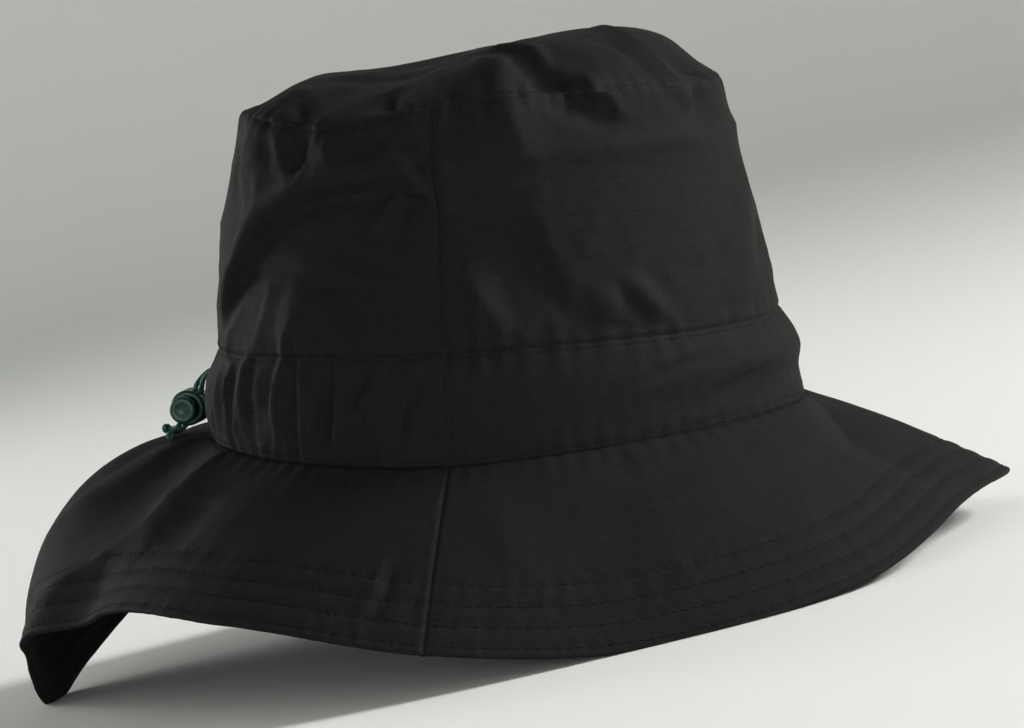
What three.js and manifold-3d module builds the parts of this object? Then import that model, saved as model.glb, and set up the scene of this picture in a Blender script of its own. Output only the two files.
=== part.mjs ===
import * as THREE from 'three';
import Module from 'manifold-3d';
import { mergeVertices } from 'three/addons/utils/BufferGeometryUtils.js';

// A wide-brimmed waterproof rain hat, its drawcord and its cord lock.
// Millimetres. x runs to the front of the hat, y to the wearer's left, z up.
// Cloth surfaces are functions of an angle, in degrees round the head from the
// front, and of a level: 0 at the brim, 1 at the top of the band, 2 at the top
// of the crown's side. They are worked out about the middle of the head
// opening, then the hat is set down on the three lowest points of its brim.

// Driving sizes of the cloth
const HEAD_LENGTH = 204;
const HEAD_WIDTH = 170;
const BAND_HEIGHT = 31.5;
const CROWN_HEIGHT = 79;
const TIP_RISE = 20;
const BRIM_WIDTH = 75;
const SIDE_DIP = 4;
const SIDE_LIFT = 2;
const FRONT_LIFT = 2;
const CROWN_WALL = 1.6;
const BAND_WALL = 2.6;
const BRIM_WALL = 2.2;
const SEAM_GAP = 0.5;
const FOLD_DEPTH = 8;
const PLEAT_DEPTH = 2.2;
const SETTLE = 2;

// Angles, in degrees
const FULL_TURN = 360;
const HALF_TURN = 180;
const QUARTER_TURN = 90;
// The flap at the back begins this far from the front, on both sides
const FLAP_FROM = 140;
// The cord gathers the band from the back up to GATHER_END, fading over GATHER_FADE,
// and leaves it flat round its two holes
const GATHER_END = 80;
const GATHER_FADE = 14;
const HOLE_FLAT = 4;
const HOLE_FADE = 9;

// Driving sizes of the drawcord and its lock
const CORD_DIAMETER = 1.8;
const CORD_SIDES = 8;
const CORD_STEPS = 26;
const CORD_CLEARANCE = 0.35;
const HOLE_SIDES = 12;
const STRAND_SPACING = 2.4;
const CORD_HOLE_DEPTH = 1.8;
const RUNNING_GAP = 0.3;
const LOCK_DIAMETER = 12.4;
const LOCK_FLOOR = 1.2;
const LOCK_MOUTH = 5;
const LOCK_ROUND = 2.2;
const STEM_DIAMETER = 7.6;
const STEM_BRIDGE = 1.2;
const BUTTON_DIAMETER = 9.4;
const BUTTON_HEIGHT = 2.4;
const BUTTON_ROUND = 1.1;
const PLUNGER_TRAVEL = 3;
const LOCK_SIDES = 20;
const ROUND_STEPS = 3;
const LOCK_CENTRE = new THREE.Vector3(-113.2, 0, 9.0);
const LOCK_LEAN = 60;
const KNOT_DIAMETER = 3.2;
const KNOT_LENGTH = 3.4;
const KNOT_ROWS = 6;

// Rows: level, then the front, back and side half sizes as shares of the head's
const SECTIONS = [
  { level: 0.0, front: 1.000, back: 1.000, side: 1.000 },
  { level: 0.3, front: 0.983, back: 1.010, side: 1.000 },
  { level: 0.6, front: 0.995, back: 1.004, side: 0.995 },
  { level: 1.0, front: 0.935, back: 0.957, side: 0.970 },
  { level: 1.5, front: 0.871, back: 0.915, side: 0.910 },
  { level: 2.0, front: 0.798, back: 0.818, side: 0.840 },
];

// Rows: place along the tip from back to front, and its height as a share of TIP_RISE
const TIP_PROFILE = [
  { place: -1.00, rise: 0.000 },
  { place: -0.86, rise: 0.300 },
  { place: -0.68, rise: 0.600 },
  { place: -0.58, rise: 0.570 },
  { place: -0.34, rise: 0.555 },
  { place: 0.08, rise: 0.725 },
  { place: 0.54, rise: 1.025 },
  { place: 0.70, rise: 1.000 },
  { place: 0.84, rise: 0.600 },
  { place: 0.94, rise: 0.220 },
  { place: 1.00, rise: 0.000 },
];
const TIP_REACH = 0.845;
// How steeply the tip's rise and its folds begin at the seam
const TIP_ROUND_POWER = 4;
const TIP_RISE_POWER = 0.8;
const TIP_FOLD_GAIN = 3.2;

// Rows: angle, length as a share of BRIM_WIDTH, slope below level at the band and at the edge
const BRIM_SECTIONS = [
  { angle: -180, length: 1.92, slopeIn: -6, slopeOut: 110 },
  { angle: -172, length: 1.51, slopeIn: 3, slopeOut: 87 },
  { angle: -165, length: 1.26, slopeIn: 25, slopeOut: 58 },
  { angle: -157, length: 1.04, slopeIn: 33, slopeOut: 58 },
  { angle: -150, length: 0.96, slopeIn: 35, slopeOut: 50 },
  { angle: -120, length: 0.92, slopeIn: 34, slopeOut: 43 },
  { angle: -90, length: 0.97, slopeIn: 41, slopeOut: 50 },
  { angle: -60, length: 1.00, slopeIn: 47, slopeOut: 55 },
  { angle: -30, length: 1.00, slopeIn: 36, slopeOut: 46 },
  { angle: 0, length: 0.89, slopeIn: 29, slopeOut: 31 },
  { angle: 15, length: 1.04, slopeIn: 22, slopeOut: 30 },
  { angle: 30, length: 1.01, slopeIn: 31, slopeOut: 42 },
  { angle: 60, length: 1.00, slopeIn: 46, slopeOut: 54 },
  { angle: 90, length: 0.97, slopeIn: 41, slopeOut: 50 },
  { angle: 120, length: 0.94, slopeIn: 34, slopeOut: 45 },
  { angle: 140, length: 1.06, slopeIn: 28, slopeOut: 52 },
  { angle: 155, length: 1.34, slopeIn: 8, slopeOut: 72 },
  { angle: 168, length: 1.73, slopeIn: -2, slopeOut: 98 },
];

// Dents (above 0) and puffs (below 0) of the crown's side: centre, half width in
// degrees, half height in levels, depth as a share of FOLD_DEPTH, and lean in
// degrees of angle for each level
const FOLDS = [
  { angle: -130.5, level: 1.90, width: 8.5, height: 0.18, depth: 0.45, lean: -10 },
  { angle: -149, level: 1.86, width: 10, height: 0.20, depth: -0.22, lean: 0 },
  { angle: -118, level: 1.88, width: 12, height: 0.16, depth: -0.18, lean: 0 },
  { angle: -72, level: 1.90, width: 13, height: 0.20, depth: -0.42, lean: 0 },
  { angle: -52, level: 1.94, width: 11, height: 0.14, depth: 0.36, lean: -60 },
  { angle: -13, level: 1.90, width: 8, height: 0.16, depth: 0.62, lean: 20 },
  { angle: -8, level: 1.40, width: 9, height: 0.42, depth: -0.25, lean: 30 },
  { angle: -80, level: 1.20, width: 5, height: 0.17, depth: -0.42, lean: -24 },
  { angle: -52, level: 1.15, width: 5, height: 0.11, depth: -0.32, lean: -10 },
  { angle: -43, level: 1.16, width: 4.5, height: 0.13, depth: -0.32, lean: -34 },
  { angle: -126, level: 1.16, width: 16, height: 0.20, depth: -0.25, lean: 0 },
  { angle: 28, level: 1.84, width: 14, height: 0.20, depth: 0.45, lean: 30 },
  { angle: 66, level: 1.52, width: 24, height: 0.26, depth: 0.55, lean: 40 },
  { angle: 112, level: 1.66, width: 20, height: 0.22, depth: 0.60, lean: -30 },
  { angle: 150, level: 1.40, width: 16, height: 0.24, depth: 0.45, lean: 20 },
];

// The long arched fold over the near side: where its lip runs. The cloth under the
// lip is pushed in, most just below it, and comes back out at ARCH_FOOT. Towards the
// front, from ARCH_SOFT_FROM to ARCH_SOFT_TO, the lip grows wide and soft.
const ARCH = [
  { angle: -162, level: 1.10 },
  { angle: -155, level: 1.28 },
  { angle: -149, level: 1.43 },
  { angle: -143, level: 1.55 },
  { angle: -136, level: 1.63 },
  { angle: -129, level: 1.71 },
  { angle: -118, level: 1.75 },
  { angle: -100, level: 1.755 },
  { angle: -86, level: 1.745 },
  { angle: -74, level: 1.70 },
  { angle: -67, level: 1.58 },
  { angle: -63, level: 1.40 },
  { angle: -60, level: 1.20 },
  { angle: -57, level: 1.09 },
];
const ARCH_FOOT = 1.08;
const ARCH_LIP = 0.09;
const ARCH_SOFT_LIP = 0.26;
const ARCH_SOFT_FROM = -104;
const ARCH_SOFT_TO = -84;
const ARCH_DEPTH = 0.75;
const ARCH_FADE_POWER = 0.8;
const ARCH_FULL_REACH = 0.27;
const ARCH_RIDGE = 0.22;

// The crown's top seam is pulled down here, by TOP_SINK at the most
const TOP_SINK = 6.5;
const TOP_SINK_ANGLE = -118;
const TOP_SINK_WIDTH = 38;

// Puffs (above 0) and dents (below 0) of the tip: centre and radius as shares of
// its half sizes, height as a share of FOLD_DEPTH
const TIP_FOLDS = [
  { x: 0.26, y: -0.86, radius: 0.24, height: 0.45 },
  { x: 0.46, y: -0.78, radius: 0.20, height: -0.70 },
  { x: 0.78, y: -0.12, radius: 0.20, height: -0.45 },
  { x: -0.20, y: -0.82, radius: 0.14, height: -0.25 },
  { x: -0.30, y: 0.30, radius: 0.45, height: -0.35 },
  { x: 0.30, y: 0.55, radius: 0.30, height: -0.30 },
];

// Rows: angle of each pleat that the drawcord gathers at the back of the band
const PLEATS = [
  -170, -161, -154, -147.5, -141, -135.5, -128, -119, -110,
  170, 162, 153, 145, 136, 128, 118, 108,
];
const PLEAT_WIDTH = 3.6;
// A pleat is deepest at this level, reaches this far up and down from it, and this
// share of its depth is given back as fullness
const PLEAT_LEVEL = 0.5;
const PLEAT_REACH = 0.62;
const PLEAT_FULLNESS = 0.4;

// Columns and rows of each cloth piece's mesh, and how much its columns crowd
// together in the middle of its half turn
const MESH = {
  tip: { columns: 48, rows: 6 },
  crownFront: { columns: 36, rows: 8 },
  crownBack: { columns: 48, rows: 9 },
  bandFront: { columns: 36, rows: 2 },
  bandBack: { columns: 88, rows: 3 },
  brimFront: { columns: 36, rows: 5 },
  brimBack: { columns: 56, rows: 9, crowding: 0.45 },
};

// The drawcord's two strands, chosen by hand: each comes out of its hole at the back of
// the band, goes down through the lock and ends in a knot on the brim
const CORD_EXIT = { y: 4, z: 21 };
const NEAR_STRAND = {
  sign: -1,
  above: [
    [-103.6, -4.0, 21.0],
    [-105.6, -3.8, 20.0],
    [-107.1, -2.9, 18.2],
    [-108.1, -1.5, 16.2],
    [-108.7, -0.4, 14.9],
  ],
  below: [
    [-116.8, -0.5, 1.50],
    [-118.5, -1.7, 0.70],
    [-120.0, -4.1, 0.40],
    [-119.9, -6.8, 0.50],
    [-118.7, -9.2, 0.50],
  ],
};
const FAR_STRAND = {
  sign: 1,
  above: [
    [-103.8, 4.0, 21.3],
    [-106.1, 3.9, 20.9],
    [-108.2, 3.1, 19.6],
    [-109.8, 1.7, 17.8],
    [-110.7, 0.5, 16.3],
  ],
  below: [
    [-118.1, 0.1, 2.9],
    [-119.1, 0.5, 1.9],
    [-120.5, 1.3, 1.4],
    [-122.2, 2.3, 1.3],
  ],
};

// How fine the working-out is
const DIRECTION_STEP = 1e-3;
const WELD_DISTANCE = 1e-4;
const RESTING_PASSES = 12;

const wasm = await Module();
wasm.setup();

const radians = THREE.MathUtils.degToRad;
const half = (size) => size / 2;

// Cubic curve through a short table, open at both ends
function ramp(rows, key, value, at) {
  const last = rows.length - 1;
  const x = THREE.MathUtils.clamp(at, rows[0][key], rows[last][key]);
  let i = 0;
  while (i < last - 1 && rows[i + 1][key] <= x) i += 1;
  const slope = (k) => (rows[k + 1][value] - rows[k][value]) / (rows[k + 1][key] - rows[k][key]);
  const width = (k) => rows[k + 1][key] - rows[k][key];
  const tangent = (k) => {
    if (k === 0) return slope(0);
    if (k === last) return slope(last - 1);
    return (slope(k - 1) * width(k) + slope(k) * width(k - 1)) / (width(k) + width(k - 1));
  };
  return hermite((x - rows[i][key]) / width(i), width(i), rows[i][value], rows[i + 1][value],
    tangent(i), tangent(i + 1));
}

// Cubic curve through a table of angles, closed after a full turn
function round(rows, value, angle) {
  const count = rows.length;
  const first = rows[0].angle;
  const at = THREE.MathUtils.euclideanModulo(angle - first, FULL_TURN) + first;
  const row = (k) => rows[THREE.MathUtils.euclideanModulo(k, count)];
  const place = (k) => row(k).angle + FULL_TURN * Math.floor(k / count);
  let i = 0;
  while (place(i + 1) <= at) i += 1;
  const width = (k) => place(k + 1) - place(k);
  const slope = (k) => (row(k + 1)[value] - row(k)[value]) / width(k);
  const tangent = (k) => {
    const weighted = slope(k - 1) * width(k) + slope(k) * width(k - 1);
    return weighted / (width(k) + width(k - 1));
  };
  return hermite((at - place(i)) / width(i), width(i), row(i)[value], row(i + 1)[value],
    tangent(i), tangent(i + 1));
}

function hermite(u, width, a, b, slopeA, slopeB) {
  const u2 = u * u;
  const u3 = u2 * u;
  return (2 * u3 - 3 * u2 + 1) * a + (u3 - 2 * u2 + u) * width * slopeA
    + (3 * u2 - 2 * u3) * b + (u3 - u2) * width * slopeB;
}

// 1 in the middle, falling smoothly to 0 at the width and beyond
function bump(distance, width) {
  const share = Math.min(Math.abs(distance) / width, 1);
  return (1 - share * share) ** 2;
}

// The angle from b to a, at most half a turn
const turn = (a, b) => THREE.MathUtils.euclideanModulo(a - b + HALF_TURN, FULL_TURN) - HALF_TURN;

// How far the crown's side is pushed in at an angle and level
function foldDepth(angle, level) {
  let depth = 0;
  for (const fold of FOLDS) {
    const rise = level - fold.level;
    const aside = turn(angle, fold.angle) - fold.lean * rise;
    depth += fold.depth * bump(aside, fold.width) * bump(rise, fold.height);
  }
  return (depth + archDepth(angle, level)) * FOLD_DEPTH;
}

// How far the long arched fold pushes the side in, as a share of FOLD_DEPTH
function archDepth(angle, level) {
  const at = turn(angle, 0);
  if (at < ARCH[0].angle || at > ARCH[ARCH.length - 1].angle) return 0;
  const lip = ramp(ARCH, 'angle', 'level', at);
  const reach = lip - ARCH_FOOT;
  const soft = THREE.MathUtils.smoothstep(at, ARCH_SOFT_FROM, ARCH_SOFT_TO);
  const width = THREE.MathUtils.lerp(ARCH_LIP, ARCH_SOFT_LIP, soft);
  const crisp = Math.min(reach / ARCH_LIP, 1) * (1 - soft);
  const ridge = ARCH_RIDGE * bump(level - lip - half(ARCH_LIP), ARCH_LIP) * crisp;
  const below = (lip - level) / width;
  if (below < 0 || level < ARCH_FOOT) return -ridge;
  const inward = THREE.MathUtils.smoothstep(below, 0, 1);
  const back = Math.max((level - ARCH_FOOT) / reach, 0) ** ARCH_FADE_POWER;
  return ARCH_DEPTH * inward * back * Math.min(reach / ARCH_FULL_REACH, 1) - ridge;
}

// How far the gathers push the band in
function pleatDepth(angle, level) {
  const share = bump(level - PLEAT_LEVEL, PLEAT_REACH);
  let depth = 0;
  for (const pleat of PLEATS) depth += bump(turn(angle, pleat), PLEAT_WIDTH);
  return (depth - PLEAT_FULLNESS) * gathered(angle) * share * PLEAT_DEPTH;
}

// 1 at the back, where the cord draws the band in, and 0 towards the side seams,
// and again 0 at the very back, where the cord's two holes are
function gathered(angle) {
  const fromBack = HALF_TURN - Math.abs(turn(angle, 0));
  const fading = THREE.MathUtils.smoothstep(GATHER_END - fromBack, 0, GATHER_FADE);
  return fading * THREE.MathUtils.smoothstep(fromBack, HOLE_FLAT, HOLE_FADE);
}

// The band and the crown's side, as one surface
function side(angle, level) {
  const c = Math.cos(radians(angle));
  const s = Math.sin(radians(angle));
  const lengthShare = ramp(SECTIONS, 'level', c > 0 ? 'front' : 'back', level);
  const a = lengthShare * half(HEAD_LENGTH);
  const b = ramp(SECTIONS, 'level', 'side', level) * half(HEAD_WIDTH);
  const radius = 1 / Math.hypot(c / a, s / b) - foldDepth(angle, level) - pleatDepth(angle, level);
  const height = level < 1 ? level * BAND_HEIGHT : BAND_HEIGHT + (level - 1) * CROWN_HEIGHT;
  const low = Math.max(1 - level, 0);
  const high = Math.max(level - 1, 0);
  const sink = TOP_SINK * bump(turn(angle, TOP_SINK_ANGLE), TOP_SINK_WIDTH) * high * high;
  const z = height + (level / 2) * SIDE_LIFT * s * s - low * SIDE_DIP * s * s
    + low * FRONT_LIFT * Math.max(c, 0) - sink;
  return new THREE.Vector3(radius * c, radius * s, z);
}

// The top panel: 0 at its seam, 1 in the middle
function tip(angle, level) {
  const ring = side(angle, 2);
  const x = ring.x * (1 - level);
  const y = ring.y * (1 - level);
  const across = x / (TIP_REACH * half(HEAD_LENGTH));
  const aside = y / (TIP_REACH * half(HEAD_WIDTH));
  const edge = 1 - (1 - level) ** TIP_ROUND_POWER;
  const rise = ramp(TIP_PROFILE, 'place', 'rise', across) * TIP_RISE * edge ** TIP_RISE_POWER;
  let puff = 0;
  for (const fold of TIP_FOLDS) {
    puff += fold.height * bump(Math.hypot(across - fold.x, aside - fold.y), fold.radius);
  }
  const middle = BAND_HEIGHT + CROWN_HEIGHT + SIDE_LIFT;
  const folds = puff * FOLD_DEPTH * Math.min(TIP_FOLD_GAIN * edge, 1);
  return new THREE.Vector3(x, y, ring.z * (1 - level) + middle * level + rise + folds);
}

// The brim: 0 at its edge, 1 at the band. Each section is an arc from one slope to the other.
function brim(angle, level) {
  const start = side(angle, 0);
  const out = 1 - level;
  const length = round(BRIM_SECTIONS, 'length', angle) * BRIM_WIDTH;
  const from = radians(round(BRIM_SECTIONS, 'slopeIn', angle));
  const to = radians(round(BRIM_SECTIONS, 'slopeOut', angle));
  const bend = to - from;
  const away = length * (Math.sin(from + bend * out) - Math.sin(from)) / bend;
  const down = length * (Math.cos(from) - Math.cos(from + bend * out)) / bend;
  const c = Math.cos(radians(angle)) / HEAD_LENGTH;
  const s = Math.sin(radians(angle)) / HEAD_WIDTH;
  const heading = Math.atan2(s, c);
  const outward = new THREE.Vector3(away * Math.cos(heading), away * Math.sin(heading), -down);
  return start.add(outward);
}

// The outward direction of a surface
function normal(surface, angle, level) {
  const step = DIRECTION_STEP;
  const up = level > half(1) ? [level - step, level] : [level, level + step];
  const across = surface(angle + step, level).sub(surface(angle - step, level));
  const along = surface(angle, up[1]).sub(surface(angle, up[0]));
  return across.cross(along).normalize();
}

// At a seam both walls are cut along the same slanted direction, so their edges stay parallel
function mitre(first, firstLevel, second, secondLevel) {
  return (angle) => normal(first, angle, firstLevel).add(normal(second, angle, secondLevel)).normalize();
}
const brimSeam = mitre(side, 0, brim, 1);
const tipSeam = mitre(side, 2, tip, 0);

// The wall of a cloth piece: the outer surface on a grid of angles and levels, and
// the inner one a wall's thickness inside it, joined round the edges
function clothWall({ surface, angles, levels, wall, foot, head, closed }) {
  const columns = angles.length;
  const rows = levels.length;
  const outer = [];
  const inner = [];
  angles.forEach((angle) => levels.forEach((level, row) => {
    const point = surface(angle, level);
    const facing = normal(surface, angle, level);
    const seam = row === 0 ? foot : row === rows - 1 ? head : undefined;
    const cut = seam ? seam(angle) : facing;
    outer.push(point);
    inner.push(point.clone().addScaledVector(cut, -wall / cut.dot(facing)));
  }));
  const index = [];
  const count = outer.length;
  const at = (column, row) => (column % columns) * rows + row;
  const quad = (a, b, c, d) => index.push(a, b, c, a, c, d);
  const spans = closed ? columns : columns - 1;
  for (let i = 0; i < spans; i += 1) {
    for (let j = 0; j < rows - 1; j += 1) {
      quad(at(i, j), at(i + 1, j), at(i + 1, j + 1), at(i, j + 1));
      quad(count + at(i, j), count + at(i, j + 1), count + at(i + 1, j + 1), count + at(i + 1, j));
    }
    quad(at(i, 0), count + at(i, 0), count + at(i + 1, 0), at(i + 1, 0));
    const end = rows - 1;
    if (!closed) quad(at(i, end), at(i + 1, end), count + at(i + 1, end), count + at(i, end));
  }
  const points = [...outer, ...inner];
  if (closed) {
    const middle = surface(0, 1);
    const top = points.push(middle) - 1;
    const under = points.push(new THREE.Vector3(middle.x, middle.y, middle.z - wall)) - 1;
    for (let i = 0; i < spans; i += 1) {
      index.push(at(i, rows - 1), at(i + 1, rows - 1), top);
      index.push(count + at(i + 1, rows - 1), count + at(i, rows - 1), under);
    }
  } else {
    for (let j = 0; j < rows - 1; j += 1) {
      const end = columns - 1;
      quad(at(0, j), at(0, j + 1), count + at(0, j + 1), count + at(0, j));
      quad(at(end, j), count + at(end, j), count + at(end, j + 1), at(end, j + 1));
    }
  }
  const geometry = new THREE.BufferGeometry().setFromPoints(points);
  geometry.setIndex(index);
  return geometry;
}

// Evenly spaced values, both ends among them
function spread(from, to, count) {
  return Array.from({ length: count + 1 }, (_, i) => from + (to - from) * i / count);
}

// Half of the hat, from one side seam to the other, and back from it by half the seam's gap
function halfTurn(towardsBack, columns, crowding = 0) {
  const inset = THREE.MathUtils.radToDeg(half(SEAM_GAP) / half(HEAD_WIDTH));
  const start = (towardsBack ? QUARTER_TURN : -QUARTER_TURN) + inset;
  const length = HALF_TURN - 2 * inset;
  return spread(0, 1, columns).map((share) => {
    const crowded = share + crowding * Math.sin(2 * Math.PI * share) / (2 * Math.PI);
    return start + length * crowded;
  });
}

// Half of a seam's gap, as a share of each piece's height
const bandInset = half(SEAM_GAP) / BAND_HEIGHT;
const crownInset = half(SEAM_GAP) / CROWN_HEIGHT;
const brimInset = half(SEAM_GAP) / BRIM_WIDTH;
const tipInset = half(SEAM_GAP) / half(HEAD_WIDTH * TIP_REACH);

function crownSide(towardsBack, { columns, rows }) {
  return clothWall({
    surface: side,
    angles: halfTurn(towardsBack, columns),
    levels: spread(1 + crownInset, 2 - crownInset, rows),
    wall: CROWN_WALL,
    head: tipSeam,
  });
}

function band(towardsBack, { columns, rows }) {
  return clothWall({
    surface: side,
    angles: halfTurn(towardsBack, columns),
    levels: spread(bandInset, 1 - bandInset, rows),
    wall: BAND_WALL,
    foot: brimSeam,
  });
}

function brimPart(towardsBack, { columns, rows, crowding }) {
  return clothWall({
    surface: brim,
    angles: halfTurn(towardsBack, columns, crowding),
    levels: spread(0, 1 - brimInset, rows),
    wall: BRIM_WALL,
    head: brimSeam,
  });
}

function tipPanel({ columns, rows }) {
  return clothWall({
    surface: tip,
    angles: spread(-HALF_TURN, HALF_TURN, columns).slice(0, -1),
    levels: spread(tipInset, 1, rows).slice(0, -1),
    wall: CROWN_WALL,
    foot: tipSeam,
    closed: true,
  });
}

// The plane that the hat rests on touches the lowest point of the brim's edge on
// the near side, on the far side and at the back
function restingMatrix() {
  const edge = [];
  for (let angle = -HALF_TURN; angle < HALF_TURN; angle += 1) {
    const point = brim(angle, 0);
    edge.push({ angle, point });
    edge.push({ angle, point: point.clone().addScaledVector(normal(brim, angle, 0), -BRIM_WALL) });
  }
  const parts = [
    edge.filter(({ angle }) => angle > -FLAP_FROM && angle <= 0),
    edge.filter(({ angle }) => angle > 0 && angle <= FLAP_FROM),
    edge.filter(({ angle }) => Math.abs(angle) > FLAP_FROM),
  ];
  const up = new THREE.Vector3(0, 0, 1);
  const lower = (low, next) => (next.point.dot(up) < low.point.dot(up) ? next : low);
  let touching;
  for (let pass = 0; pass < RESTING_PASSES; pass += 1) {
    touching = parts.map((part) => part.reduce(lower).point);
    const [near, far, back] = touching;
    up.copy(far.clone().sub(near).cross(back.clone().sub(near))).normalize();
  }
  const front = new THREE.Vector3(1, 0, 0).addScaledVector(up, -up.x).normalize();
  const left = up.clone().cross(front);
  const turned = new THREE.Matrix4().makeBasis(front, left, up).transpose();
  const floor = touching[0].dot(up) + SETTLE;
  return new THREE.Matrix4().makeTranslation(0, 0, -floor).multiply(turned);
}
const resting = restingMatrix();

// Sets a piece of cloth down: what would reach below the surface is flattened on it
function settle(geometry) {
  geometry.applyMatrix4(resting);
  const points = geometry.attributes.position;
  for (let i = 0; i < points.count; i += 1) points.setZ(i, Math.max(points.getZ(i), 0));
  return geometry;
}

function toManifold(geometry) {
  const bare = geometry.clone();
  bare.deleteAttribute('normal');
  bare.deleteAttribute('uv');
  const merged = mergeVertices(bare, WELD_DISTANCE);
  return new wasm.Manifold(new wasm.Mesh({
    numProp: 3,
    vertProperties: new Float32Array(merged.attributes.position.array),
    triVerts: new Uint32Array(merged.index.array),
  }));
}

// A geometry less the tools that cut it
function cut(geometry, ...tools) {
  let solid = toManifold(geometry);
  for (const tool of tools) solid = solid.subtract(toManifold(tool));
  const mesh = solid.getMesh();
  const result = new THREE.BufferGeometry();
  result.setAttribute('position', new THREE.BufferAttribute(mesh.vertProperties, 3));
  result.setIndex(new THREE.BufferAttribute(mesh.triVerts, 1));
  return result;
}

// The hole at the back of the band that a strand of the drawcord comes out of
function cordHoleCentre(sign) {
  const y = sign * CORD_EXIT.y;
  const level = CORD_EXIT.z / BAND_HEIGHT;
  const angle = HALF_TURN - THREE.MathUtils.radToDeg(Math.asin(y / half(HEAD_LENGTH)));
  return side(angle, level);
}

function cordHole(sign) {
  const centre = cordHoleCentre(sign);
  const radius = half(CORD_DIAMETER) + CORD_CLEARANCE;
  const hole = new THREE.CylinderGeometry(radius, radius, 2 * CORD_HOLE_DEPTH, HOLE_SIDES);
  hole.rotateZ(Math.PI / 2);
  hole.translate(centre.x, centre.y, centre.z);
  return hole;
}

// The cord lock, about its own middle: its axis is z, the button at the top, and
// the strands run through it along x, side by side along y
const slotHeight = CORD_DIAMETER + 2 * CORD_CLEARANCE;
const slotWidth = slotHeight + STRAND_SPACING;
const stemBottom = -half(slotHeight) - STEM_BRIDGE;
const boreBottom = stemBottom - PLUNGER_TRAVEL - RUNNING_GAP;
const buttonBottom = LOCK_MOUTH + PLUNGER_TRAVEL + RUNNING_GAP;

function slot(bottom, top) {
  const shape = new THREE.Shape();
  const r = half(slotHeight);
  const reach = half(STRAND_SPACING);
  shape.moveTo(-reach, bottom);
  shape.lineTo(reach, bottom);
  shape.absarc(reach, bottom + r, r, -Math.PI / 2, 0);
  shape.lineTo(reach + r, top - r);
  shape.absarc(reach, top - r, r, 0, Math.PI / 2);
  shape.lineTo(-reach, top);
  shape.absarc(-reach, top - r, r, Math.PI / 2, Math.PI);
  shape.lineTo(-reach - r, bottom + r);
  shape.absarc(-reach, bottom + r, r, Math.PI, Math.PI * 1.5);
  const length = 2 * LOCK_DIAMETER;
  const tool = new THREE.ExtrudeGeometry(shape, {
    depth: length,
    bevelEnabled: false,
    curveSegments: ROUND_STEPS,
  });
  tool.translate(0, 0, -half(length));
  tool.rotateX(Math.PI / 2);
  tool.rotateZ(Math.PI / 2);
  return tool;
}

const turnedAboutZ = (profile) => new THREE.LatheGeometry(
  profile.map(([radius, z]) => new THREE.Vector2(radius, z)), LOCK_SIDES,
).rotateX(Math.PI / 2);

// Points of a rounded corner, from one angle to the other
function quarter(radius, z, size, from, to) {
  return spread(from, to, ROUND_STEPS).map((angle) => [
    radius + size * Math.cos(radians(angle)), z + size * Math.sin(radians(angle)),
  ]);
}

function lockBody() {
  const r = half(LOCK_DIAMETER);
  const bore = half(STEM_DIAMETER) + RUNNING_GAP;
  const bottom = boreBottom - LOCK_FLOOR;
  const profile = [
    [0, bottom],
    ...quarter(r - LOCK_ROUND, bottom + LOCK_ROUND, LOCK_ROUND, -QUARTER_TURN, 0),
    ...quarter(r - half(LOCK_ROUND), LOCK_MOUTH - half(LOCK_ROUND), half(LOCK_ROUND), 0, QUARTER_TURN),
    [bore, LOCK_MOUTH],
    [bore, boreBottom],
    [0, boreBottom],
  ];
  return cut(turnedAboutZ(profile), slot(-half(slotHeight), half(slotHeight)));
}

function lockPlunger() {
  const stem = half(STEM_DIAMETER);
  const button = half(BUTTON_DIAMETER);
  const top = buttonBottom + BUTTON_HEIGHT;
  const profile = [
    [0, stemBottom],
    [stem, stemBottom],
    [stem, buttonBottom],
    [button, buttonBottom],
    ...quarter(button - BUTTON_ROUND, top - BUTTON_ROUND, BUTTON_ROUND, 0, QUARTER_TURN),
    [0, top],
  ];
  return cut(turnedAboutZ(profile), slot(-half(slotHeight), half(slotHeight) + PLUNGER_TRAVEL));
}

// Turns the lock so that its button looks to the near side and the strands run
// through it from the band's side down to the back
const lockTurn = new THREE.Matrix4().makeBasis(
  new THREE.Vector3(Math.cos(radians(LOCK_LEAN)), 0, Math.sin(radians(LOCK_LEAN))),
  new THREE.Vector3(-Math.sin(radians(LOCK_LEAN)), 0, Math.cos(radians(LOCK_LEAN))),
  new THREE.Vector3(0, -1, 0),
);

// A point on a strand in the lock: how far along it, and which strand
function inLock(along, sign) {
  const point = new THREE.Vector3(along, sign * half(STRAND_SPACING), 0);
  return point.applyMatrix4(lockTurn).add(LOCK_CENTRE);
}

function strandCurve({ sign, above, below }) {
  const hole = cordHoleCentre(sign);
  const deep = CORD_HOLE_DEPTH - CORD_CLEARANCE;
  const reach = half(LOCK_DIAMETER);
  const vectors = (rows) => rows.map((row) => new THREE.Vector3(...row));
  return new THREE.CatmullRomCurve3([
    hole.clone().setX(hole.x + deep),
    hole.clone().setX(hole.x - half(deep)),
    ...vectors(above),
    inLock(reach, sign),
    inLock(0, sign),
    inLock(-reach, sign),
    ...vectors(below),
  ], false, 'centripetal');
}

function strand(route) {
  const section = new THREE.Shape();
  section.absarc(0, 0, half(CORD_DIAMETER), 0, 2 * Math.PI);
  return new THREE.ExtrudeGeometry(section, {
    steps: CORD_STEPS,
    curveSegments: CORD_SIDES / 2,
    extrudePath: strandCurve(route),
    bevelEnabled: false,
  });
}

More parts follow.
